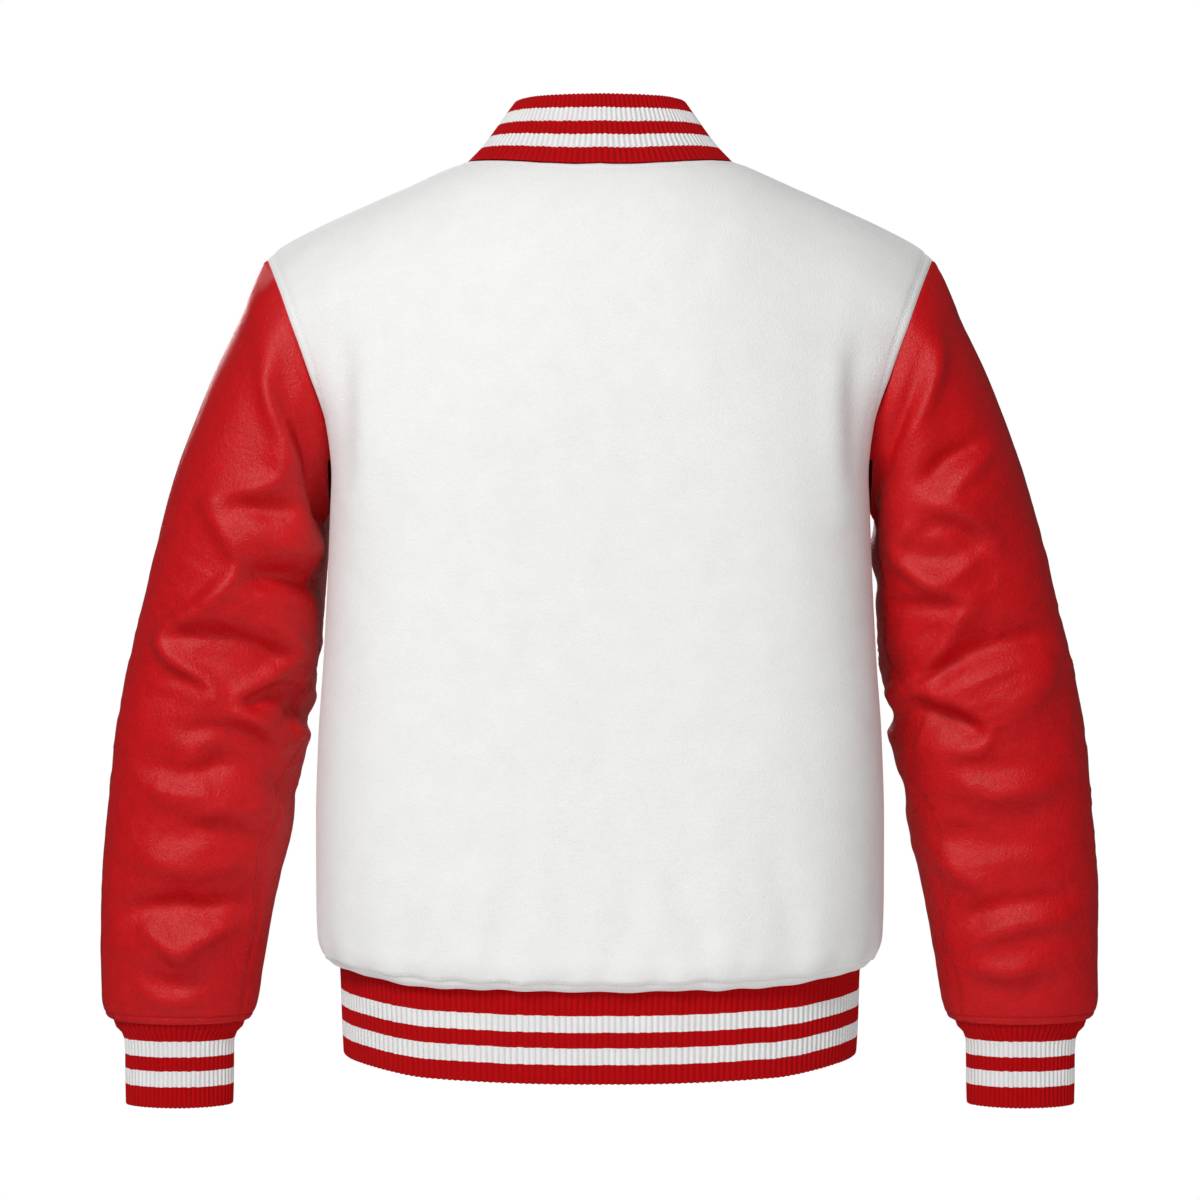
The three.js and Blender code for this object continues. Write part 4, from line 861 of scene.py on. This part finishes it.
def knit_material(name, stripes, rows):
    """Rib knit whose white stripes lie between shares of its height, on the red."""
    material, tree, surface = new_material(name)
    at = node(tree, "UVMap", uv_map="knit")
    split = node(tree, "SeparateXYZ", {0: at.outputs[0]})
    column = maths(tree, "ROUND", split.outputs[0])
    jitter = node(tree, "TexWhiteNoise", {"W": column}, noise_dimensions="1D")
    share = maths(tree, "MULTIPLY_ADD", jitter.outputs[0], 0.35 / rows, split.outputs[1])
    ramp = node(tree, "ValToRGB", {0: share})
    ramp.color_ramp.interpolation = "CONSTANT"
    ramp.color_ramp.elements[0].color = (*KNIT_RED, 1)
    ramp.color_ramp.elements[1].position = stripes[0]
    ramp.color_ramp.elements[1].color = (*KNIT_WHITE, 1)
    for place, colour in zip(stripes[1:], (KNIT_RED, KNIT_WHITE, KNIT_RED)):
        ramp.color_ramp.elements.new(place).color = (*colour, 1)
    stitches = place_group(tree, knit_group)
    tree.links.new(split.outputs[0], stitches.inputs["U"])
    tree.links.new(maths(tree, "MULTIPLY", split.outputs[1], rows), stitches.inputs["V"])
    fuzz = place_group(tree, fuzz_group, Scale=1500, Mottling=0.12)
    # Painted shade darkens the stripes' colour in the grooves between the ribs
    groove_shaded_colour = shaded(tree, ramp.outputs[0], stitches.outputs["Painted Groove Shade"])
    tree.links.new(shaded(tree, groove_shaded_colour, fuzz.outputs["Shade"]), surface.inputs["Base Color"])
    looped = bumped(tree, stitches.outputs["Height"], 0.6, 0.00035)
    tree.links.new(bumped(tree, fuzz.outputs["Height"], 0.4, 0.0005, looped), surface.inputs["Normal"])
    surface.inputs["Roughness"].default_value = 0.9
    surface.inputs["Specular IOR Level"].default_value = 0.15
    return material


def evenly(line, count):
    """Values from 0 to 1 that space count points evenly along a line given by a function."""
    t = np.linspace(0, 1, 1600)
    length = np.concatenate([[0], np.cumsum(np.linalg.norm(np.diff(line(t), axis=0), axis=-1))])
    return np.interp(np.linspace(0, length[-1], count), length, t)


def rib_knit(name, place, inwards, t, ribs, height, rows, material, wander, closed=False):
    """A doubled rib knit. place(t, up) gives the plain outer face from its seam (up 0) to its fold (up 1) and
    inwards(t, up) the way in. The ribs run on over the fold and up the inside."""
    fold = 0.45 * KNIT / height
    ups = np.concatenate([[0, 0.4 / height, 1.1 / height], np.linspace(2.4 / height, 1 - fold, rows)])
    t_grid, up_grid = np.meshgrid(t, ups)
    face = place(t_grid, up_grid)
    way_in = inwards(t_grid, up_grid)
    onward = unit(face[-1] - face[-2])
    angles = np.radians(np.linspace(0, 180, FOLD_STEPS + 2)[1:-1])[:, None, None]
    bend = face[-1] + way_in[-1] * KNIT / 2 * (1 - np.cos(angles)) + onward * 0.45 * KNIT * np.sin(angles)
    bend_normal = -way_in[-1] * np.cos(angles) + onward * np.sin(angles)
    inside = (face + way_in * KNIT)[::-1]
    points = np.concatenate([face, bend, inside])
    normal = np.concatenate([-way_in, bend_normal, way_in[::-1]])
    shares = np.concatenate([ups, np.full(FOLD_STEPS, 1.0), ups[::-1]])
    up = np.repeat(shares[:, None], len(t), 1)
    rib = np.linspace(0, ribs, len(t) + 1)[:-1] if closed else np.linspace(0, ribs, len(t))
    crest = (0.5 + 0.5 * np.cos(2 * np.pi * rib)) ** 0.7
    own = 1 + 0.16 * soft_noise(rib * 0.9, 0 * rib, 5)
    pressed = PRESSED_FLAT + (1 - PRESSED_FLAT) * smooth(up * height, 0, 4)
    stretched = np.ones(len(shares))
    stretched[len(ups) - 1:len(ups) + FOLD_STEPS + 1] = STRETCHED_FLAT
    depth = RIB_DEPTH * (1 - crest * own)[None] * pressed * stretched[:, None]
    sway = wander * soft_noise(np.repeat(rib[None], len(shares), 0) / 17, up * 1.5, 9) * smooth(up, 0, 0.4)
    outside = np.where(np.arange(len(shares)) < len(shares) / 2, 1, -1)[:, None]
    points = points + normal * (sway * outside - depth)[..., None]
    uv = np.stack([np.repeat(rib[None], len(shares), 0), up], -1)
    return knit_mesh(name, points, uv, material, closed)


def knit_mesh(name, points, uv, material, closed):
    """A grid that is a ring in its rows' direction, as the band's outside, fold, inside and seam edge."""
    rows, cols = points.shape[:2]
    index = np.arange(rows * cols).reshape(rows, cols)
    index = np.vstack([index, index[:1]])
    if closed:
        index = np.hstack([index, index[:, :1]])
    faces = quads(index)
    spots = points.reshape(-1, 3)
    polygons = faces.tolist()
    if not closed:
        for column, flip in ((0, False), (cols - 1, True)):
            ring = index[:, column].tolist()
            for i in range(rows // 2 - 1):
                quad = [ring[i], ring[i + 1], ring[rows - 2 - i], ring[rows - 1 - i]]
                polygons.append(quad[::-1] if flip else quad)
    if inside_out(spots, faces):
        polygons = [quad[::-1] for quad in polygons]
    piece = new_piece(name, spots, polygons, material, bend=70)
    mesh = piece.data
    layer = mesh.uv_layers.new(name="knit")
    corners = np.zeros(len(mesh.loops), int)
    mesh.loops.foreach_get("vertex_index", corners)
    flat = uv.reshape(-1, 2)[corners]
    if closed:
        starts = np.zeros(len(mesh.polygons), int)
        mesh.polygons.foreach_get("loop_start", starts)
        totals = np.zeros(len(mesh.polygons), int)
        mesh.polygons.foreach_get("loop_total", totals)
        owner = np.repeat(np.arange(len(starts)), totals)
        most = np.zeros(len(starts))
        np.maximum.at(most, owner, flat[:, 0])
        whole = np.round(uv[..., 0].max() + uv[0, 1, 0])
        past_join = (most[owner] > whole * 0.75) & (flat[:, 0] < whole * 0.25)
        flat[past_join, 0] += whole
    layer.data.foreach_set("uv", flat.ravel())
    return piece


def hem_line(t, up):
    """The hem band's plain outer face, from the left front's edge round the back to the end under it."""
    half, behind, before = (lerp(HEM[0, k], HEM[1, k], up) for k in (1, 2, 3))
    start = np.arcsin(OVERLAP / half)
    angle = -start + t * (2 * np.pi + 2 * start)
    sin, cos = np.sin(angle), np.cos(angle)
    x = np.sign(sin) * np.abs(sin) ** (2 / HEM_SQUARE) * half
    y = lerp(SIDE_SEAM_Y, np.where(cos < 0, behind, -before), np.abs(cos) ** (2 / HEM_SQUARE))
    z = lerp(HEM[0, 0], HEM[1, 0], up) + hem_rise(np.abs(x / half))
    return np.stack([x, y, z], -1)


def hem_inwards(t, up):
    step = 1e-3
    run = hem_line(np.minimum(1, t + step), up) - hem_line(np.maximum(0, t - step), up)
    return unit(np.stack([-run[..., 1], run[..., 0], 0 * t], -1))


def hem_place(t, up):
    under = smooth(t, 1 - (2 * OVERLAP + TUCK_RAMP) / HEM_GIRTH, 1 - 2 * OVERLAP / HEM_GIRTH - 0.002)
    return hem_line(t, up) + hem_inwards(t, up) * (under * (KNIT + LAYER_GAP))[..., None]


hem_height = HEM_TOP - HEM_BOTTOM
hem_knit = knit_material("hem_knit", HEM_STRIPES, hem_height / STITCH_ROW)
hem_t = evenly(lambda t: hem_line(t, np.ones_like(t)), HEM_RIBS * RIB_POINTS + 1)
hem = rib_knit("knit_hem_band", hem_place, hem_inwards, hem_t, HEM_RIBS, hem_height, 14, hem_knit, 0.7)
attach(hem, "root")
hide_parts("hem_band")

# The cuffs: doubled tubes of the same striped rib knit, with their fold at the wrist. The wide leather is
# gathered into their upper edge, so they flare a little there.
CUFF_RIBS = 60
# Height, half width and half depth
CUFF = np.array([
    (-708.5, 40.8, 26.6),
    (-662, 41.4, 27.2),
    (-655, 43, 28.4),
    (-648, 49, 32),
    (-643, 50, 32.8),
])
CUFF_X = 319.4
CUFF_Y = -30
CUFF_STRIPES = (0.233, 0.411, 0.578, 0.756)
cuff_height = CUFF[-1, 0] - CUFF[0, 0]
cuff_knit = knit_material("cuff_knit", CUFF_STRIPES, cuff_height / STITCH_ROW)


def cuff_line(t, up):
    z = lerp(CUFF[-1, 0], CUFF[0, 0], up)
    half, deep = read_table(CUFF, z, 1, 2)
    angle = 2 * np.pi * t
    return np.stack([CUFF_X + half * np.cos(angle), CUFF_Y + deep * np.sin(angle), z], -1)


def cuff_inwards(t, up):
    angle = 2 * np.pi * t
    return unit(np.stack([-np.cos(angle) * CUFF[0, 2], -np.sin(angle) * CUFF[0, 1], 0 * t], -1))


cuff_t = evenly(lambda t: cuff_line(t, np.ones_like(t)), CUFF_RIBS * 8 + 1)[:-1]
for which, mirror in (("left", 1), ("right", -1)):
    side = np.array([mirror, 1, 1])
    cuff = rib_knit(
        "knit_cuff_" + which,
        lambda t, up: cuff_line(t, up) * side,
        lambda t, up: cuff_inwards(t, up) * side,
        cuff_t, CUFF_RIBS, cuff_height, 16, cuff_knit, 0.5, closed=True,
    )
    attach(cuff, "root")
    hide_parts("cuff_" + which)

# The collar: a doubled stand of the striped rib knit, eased round the neck seam with its fold at the top. Its
# ends are rounded off and meet at the centre front.
COLLAR_RIBS = 140
COLLAR_STRIPES = (0.236, 0.423, 0.611, 0.797)
# Turn round the neck from the centre back, and the top edge's x, y and z
COLLAR_TOP = np.array([
    (-45, -47, 37, 47.2),
    (0, 0, 50, 46.8),
    (45, 47, 37, 47.2),
    (90, 64, 2, 47.5),
    (120, 56, -30, 27),
    (150, 33.5, -54, -13),
    (180, 0, -64, -36),
])
COLLAR_LENGTH = 330
COLLAR_HEIGHT = 62
COLLAR_RADIUS = 100
COLLAR_END_GAP = 2
COLLAR_CORNER = 30
COLLAR_END_HEIGHT = 0.45
COLLAR_LIFT = 0.8
# Height, and how far the collar sinks in there
COLLAR_SINK = np.array([(0, 0), (0.36, 2), (1, 0.8)])
collar_ends = 180 - math.degrees(COLLAR_END_GAP / COLLAR_RADIUS)


def neck_edge(turn):
    """The neck seam by the turn from the centre back (0) to the centre front (180)."""
    u = NECK_U * np.sin(np.radians(turn))
    ones = np.ones_like(turn)
    return np.where((turn < 90)[..., None], body_form("back", u, ones), body_form("front", u, ones))


def collar_line(t, up):
    turn = collar_ends * (2 * t - 1)
    seam = neck_edge(np.abs(turn))
    top = np.stack(read_table(COLLAR_TOP, np.abs(turn), 1, 2, 3), -1)
    mirror = np.stack([np.where(turn > 0, -1, 1), np.ones_like(turn), np.ones_like(turn)], -1)
    from_end = np.minimum(t, 1 - t) * COLLAR_LENGTH
    corner = np.clip(1 - from_end / COLLAR_CORNER, 0, 1)
    tall = lerp(COLLAR_END_HEIGHT, 1, np.sqrt(1 - corner**2))
    rise = (top - seam) * (up * tall)[..., None]
    return (seam + rise + unit(top - seam) * (COLLAR_LIFT * (1 - up))[..., None]) * mirror


def collar_inwards(t, up):
    step = 2e-3
    middle = 0.5 * np.ones_like(t)
    run = collar_line(np.minimum(1, t + step), middle) - collar_line(np.maximum(0, t - step), middle)
    rising = collar_line(t, np.ones_like(t)) - collar_line(t, np.zeros_like(t))
    normal = unit(np.cross(run, rising))
    outwards = collar_line(t, middle) * (1, 1, 0)
    facing = (normal * outwards).sum(-1, keepdims=True)
    return np.where(facing > 0, -normal, normal)


def collar_place(t, up):
    sink = read_table(COLLAR_SINK, up, 1)[0]
    return collar_line(t, up) + collar_inwards(t, up) * sink[..., None]


collar_knit = knit_material("collar_knit", COLLAR_STRIPES, COLLAR_HEIGHT / STITCH_ROW)
collar_t = evenly(lambda t: collar_line(t, 0.5 * np.ones_like(t)), COLLAR_RIBS * 8 + 1)
collar = rib_knit(
    "knit_collar", collar_place, collar_inwards, collar_t, COLLAR_RIBS, COLLAR_HEIGHT, 16, collar_knit, 0.4
)
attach(collar, "root")
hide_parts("collar")

# The topstitching: single rows of thread that hold the seam allowances flat, white on the wool beside the
# armholes, the collar and the hem band, and red on the leather above the cuffs and beside the underarm seam.
STITCH_PITCH = 3.2
STITCH_LENGTH = 2.5
THREAD = 0.32
THREAD_SIDES = 6


def thread_material(name, colour):
    material, tree, surface = new_material(name)
    surface.inputs["Base Color"].default_value = (*colour, 1)
    surface.inputs["Roughness"].default_value = 0.6
    return material


white_thread = thread_material("white_thread", (0.72, 0.715, 0.71))
red_thread = thread_material("red_thread", (0.3, 0.004, 0.008))


def stitch_row(name, line, normals, material, sink=0.1):
    """Stitches along a line on the cloth, each a small thread that dips in at both ends."""
    length = np.concatenate([[0], np.cumsum(np.linalg.norm(np.diff(line, axis=0), axis=-1))])
    starts = np.arange(1, length[-1] - STITCH_LENGTH, STITCH_PITCH)
    steps = np.array([0, 0.12, 0.5, 0.88, 1])
    swell = np.array([0.35, 0.9, 1, 0.9, 0.35]) * THREAD
    rise = np.array([-0.5, 0.2, 0.55, 0.2, -0.5]) * THREAD - sink
    at = starts[:, None] + steps * STITCH_LENGTH
    spots = np.stack([np.interp(at, length, line[:, k]) for k in range(3)], -1)
    up = unit(np.stack([np.interp(at, length, normals[:, k]) for k in range(3)], -1))
    run = unit(spots[:, -1:] - spots[:, :1])
    side = unit(np.cross(run, up))
    angles = np.linspace(0, 2 * np.pi, THREAD_SIDES, endpoint=False)
    ring = side[..., None, :] * np.cos(angles)[:, None] + up[..., None, :] * np.sin(angles)[:, None]
    points = spots[..., None, :] + up[..., None, :] * rise[:, None, None] + ring * swell[:, None, None]
    count = len(starts)
    index = np.arange(count * 5 * THREAD_SIDES).reshape(count, 5, THREAD_SIDES)
    around = np.concatenate([index, index[..., :1]], -1)
    faces = np.concatenate([quads(stitch) for stitch in around])
    polygons = faces.tolist() + index[:, 0, ::-1].tolist() + index[:, -1].tolist()
    piece = new_piece(name, points.reshape(-1, 3), polygons, material)
    piece.data.polygons.foreach_set("use_smooth", [True] * len(piece.data.polygons))
    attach(piece, "root")
    return piece


def line_inside(points, normals, away, inset, lines):
    """The line on a grid where away is inset, one point for each of the grid's given lines."""
    found = []
    for pick in lines:
        gap, spots, facing = away[pick], points[pick], normals[pick]
        order = np.argsort(gap)
        k = np.searchsorted(gap[order], inset)
        if k == 0 or k == len(gap) or gap[order[k]] - gap[order[k - 1]] > 8:
            continue
        a, b = order[k - 1], order[k]
        t = (inset - gap[a]) / (gap[b] - gap[a])
        found.append(np.concatenate([lerp(spots[a], spots[b], t), lerp(facing[a], facing[b], t)]))
    found = np.array(found)
    return found[:, :3], found[:, 3:]


levels_above = np.nonzero(body_levels() > 0.03)[0]
for label, grid, normals, insets, mirror in (
    ("back_left", back_grid, back_normals, back_insets, 1),
    ("back_right", back_grid, back_normals, back_insets, -1),
    ("front_left", left_grid, left_normals, left_insets, 1),
    ("front_right", right_grid, right_normals, right_insets, -1),
):
    half = np.nonzero((grid[0, :, 0] * mirror) > 60)[0]
    rows = [(np.full(len(half), row), half) for row in levels_above]
    line, facing = line_inside(grid, normals, insets["armhole"], STITCHED_DOWN["armhole"][0], rows)
    stitch_row("stitches_armhole_" + label, line, facing, white_thread)

for label, grid, normals, insets in (
    ("back", back_grid, back_normals, back_insets),
    ("front_left", left_grid, left_normals, left_insets),
    ("front_right", right_grid, right_normals, right_insets),
):
    near_hem = np.arange(0, 14)
    columns = [(near_hem, np.full(len(near_hem), column)) for column in range(1, grid.shape[1] - 1)]
    line, facing = line_inside(grid, normals, insets["hem"], STITCHED_DOWN["hem"][0], columns)
    stitch_row("stitches_hem_" + label, line, facing, white_thread)
    near_neck = np.arange(grid.shape[0] - 40, grid.shape[0])
    picked = [column for column in range(grid.shape[1]) if abs(grid[-1, column, 0]) < 99]
    columns = [(near_neck, np.full(len(near_neck), column)) for column in picked]
    line, facing = line_inside(grid, normals, insets["neck"], STITCHED_DOWN["neck"][0], columns)
    stitch_row("stitches_collar_" + label, line, facing, white_thread)

for which in ("left", "right"):
    piece, grid, normals, reach, end = sleeves[which]
    near_end = np.arange(grid.shape[0] - 16, grid.shape[0])
    columns = [(near_end, np.full(len(near_end), column)) for column in range(SLEEVE_TURNS)]
    line, facing = line_inside(grid, normals, end, WRIST_STITCHES, columns + columns[:1])
    stitch_row("stitches_wrist_" + which, line, facing, red_thread)
    turns = np.arange(int(SLEEVE_TURNS * 0.3), int(SLEEVE_TURNS * 0.53))
    rows = [(np.full(len(turns), row), turns) for row in range(8, grid.shape[0] - 12)]
    line, facing = line_inside(grid, normals, -reach, UNDERARM_STITCHES, rows)
    stitch_row("stitches_underarm_" + which, line, facing, red_thread)

# The snaps: seven plain nickel-plated caps down the front, each a spun disc with a rolled rim. They are set
# through the left front and grip sockets in the right one, which are hidden.
SNAP_RADIUS = 7.5
SNAP_HEIGHT = 2.6
# The cap's outline from its foot to its top: radius and height
SNAP_PROFILE = [(0, 0), (7.5, 0), (7.5, 1.1), (6.9, 1.9), (6.1, 1.75), (5.4, 2.1), (3.6, 2.5), (0, 2.6)]

nickel, tree, surface = new_material("nickel")
surface.inputs["Base Color"].default_value = (0.72, 0.71, 0.69, 1)
surface.inputs["Metallic"].default_value = 1
surface.inputs["Roughness"].default_value = 0.28

for number in range(1, 8):
    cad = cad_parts[f"snap_{number}"]
    spots = np.array([v.co for v in cad.data.vertices]) / MM
    centre = spots.mean(0)
    spread = np.linalg.svd(spots - centre, full_matrices=False)[2]
    facing = spread[2] * -np.sign(spread[2][1])
    foot = centre + facing * ((spots - centre) @ facing).min()
    bpy.ops.object.select_all(action="DESELECT")
    bpy.ops.mesh.primitive_circle_add(
        vertices=48, radius=SNAP_RADIUS * MM, fill_type="NGON", location=(0, 0, 0)
    )
    cap = bpy.context.object
    cap.name = f"snap_cap_{number}"
    bpy.ops.object.mode_set(mode="EDIT")
    bpy.ops.mesh.select_all(action="SELECT")
    before = SNAP_RADIUS
    for (radius, rise), (_, lower) in zip(SNAP_PROFILE[2:-1], SNAP_PROFILE[1:-2]):
        bpy.ops.mesh.extrude_region_move(TRANSFORM_OT_translate={"value": (0, 0, (rise - lower) * MM)})
        scale = radius / before
        bpy.ops.transform.resize(value=(scale, scale, 1))
        before = radius
    bpy.ops.mesh.poke(offset=0)
    bpy.ops.mesh.select_all(action="DESELECT")
    bpy.ops.object.mode_set(mode="OBJECT")
    top = max(cap.data.vertices, key=lambda v: v.co.z - 10 * math.hypot(v.co.x, v.co.y))
    top.co.z = SNAP_HEIGHT * MM
    base = np.array([v.co for v in cap.data.vertices])
    side = unit(np.cross(facing, (0, 0, 1)))
    tall = np.cross(side, facing)
    placed = foot * MM + base[:, :1] * side + base[:, 1:2] * tall + base[:, 2:] * facing
    cap.data.vertices.foreach_set("co", placed.ravel())
    cap.data.update()
    bpy.ops.object.mode_set(mode="EDIT")
    bpy.ops.mesh.select_all(action="SELECT")
    bpy.ops.mesh.normals_make_consistent(inside=False)
    bpy.ops.object.mode_set(mode="OBJECT")
    bpy.ops.object.shade_smooth_by_angle(angle=math.radians(40))
    cap.data.materials.clear()
    cap.data.materials.append(nickel)
    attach(cap, "root")
    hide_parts(f"snap_{number}")

# The studio: a pale floor far below the hanging jacket, a bright even background, and soft lights from above
# and beside the camera, which looks at the jacket's back from the middle of its height. The floor is kept out
# of the leather's reflections, as a dark studio's would be.
PICTURE = 1200
SENSOR = 36
bpy.ops.object.select_all(action="DESELECT")
bpy.ops.mesh.primitive_circle_add(vertices=96, radius=2.6, fill_type="NGON", location=(0, 0, 0))
floor = bpy.context.object
floor.name = "studio_floor"
floor.visible_glossy = False
for vertex in floor.data.vertices:
    vertex.co.z = -1.52
paper, tree, surface = new_material("floor_paper")
surface.inputs["Base Color"].default_value = (0.82, 0.82, 0.82, 1)
surface.inputs["Roughness"].default_value = 0.8
floor.data.materials.append(paper)

world = bpy.data.worlds.new("studio")
bpy.context.scene.world = world
world.use_nodes = True
tree = world.node_tree
tree.nodes.clear()
lit = node(tree, "Background", {"Color": (1, 1, 1, 1), "Strength": 0.28})
dim = node(tree, "Background", {"Color": (1, 1, 1, 1), "Strength": 0.06})
shown = node(tree, "Background", {"Color": (1, 1, 1, 1), "Strength": 1.0})
path = node(tree, "LightPath")
mirrored = node(tree, "MixShader", {0: path.outputs["Is Glossy Ray"], 1: lit.outputs[0], 2: dim.outputs[0]})
mix = node(tree, "MixShader", {0: path.outputs["Is Camera Ray"], 1: mirrored.outputs[0], 2: shown.outputs[0]})
out = tree.nodes.new("ShaderNodeOutputWorld")
tree.links.new(mix.outputs[0], out.inputs["Surface"])


def area_light(name, place, aim, size, power, glossy=True):
    light = bpy.data.lights.new(name, "AREA")
    light.shape = "RECTANGLE"
    light.size, light.size_y = size
    light.energy = power
    holder = bpy.data.objects.new(name, light)
    bpy.context.scene.collection.objects.link(holder)
    holder.location = place
    holder.visible_glossy = glossy
    toward = np.array(aim, float) - np.array(place, float)
    holder.rotation_euler = Vector(toward).to_track_quat("-Z", "Y").to_euler()
    return holder


area_light("key", (1.2, 2.5, 1.9), (0, 0, -0.35), (1.3, 0.9), 80)
area_light("fill", (-0.5, 2.9, -1.0), (0, 0, -0.4), (1.8, 1.2), 23, glossy=False)
area_light("front", (0.6, -2.7, 0.8), (0, 0, -0.35), (1.4, 1.2), 62)

camera = bpy.data.cameras.new("camera")
holder = bpy.data.objects.new("camera", camera)
bpy.context.scene.collection.objects.link(holder)
holder.location = (0, EYE_DISTANCE * MM, (LEVEL_PIXEL - PICTURE / 2) * PIXEL * MM)
holder.rotation_euler = (math.radians(90), 0, math.radians(180))
camera.lens = SENSOR * EYE_DISTANCE / (PICTURE * PIXEL)
camera.sensor_width = SENSOR
bpy.context.scene.camera = holder
bpy.context.scene.view_settings.view_transform = "Standard"
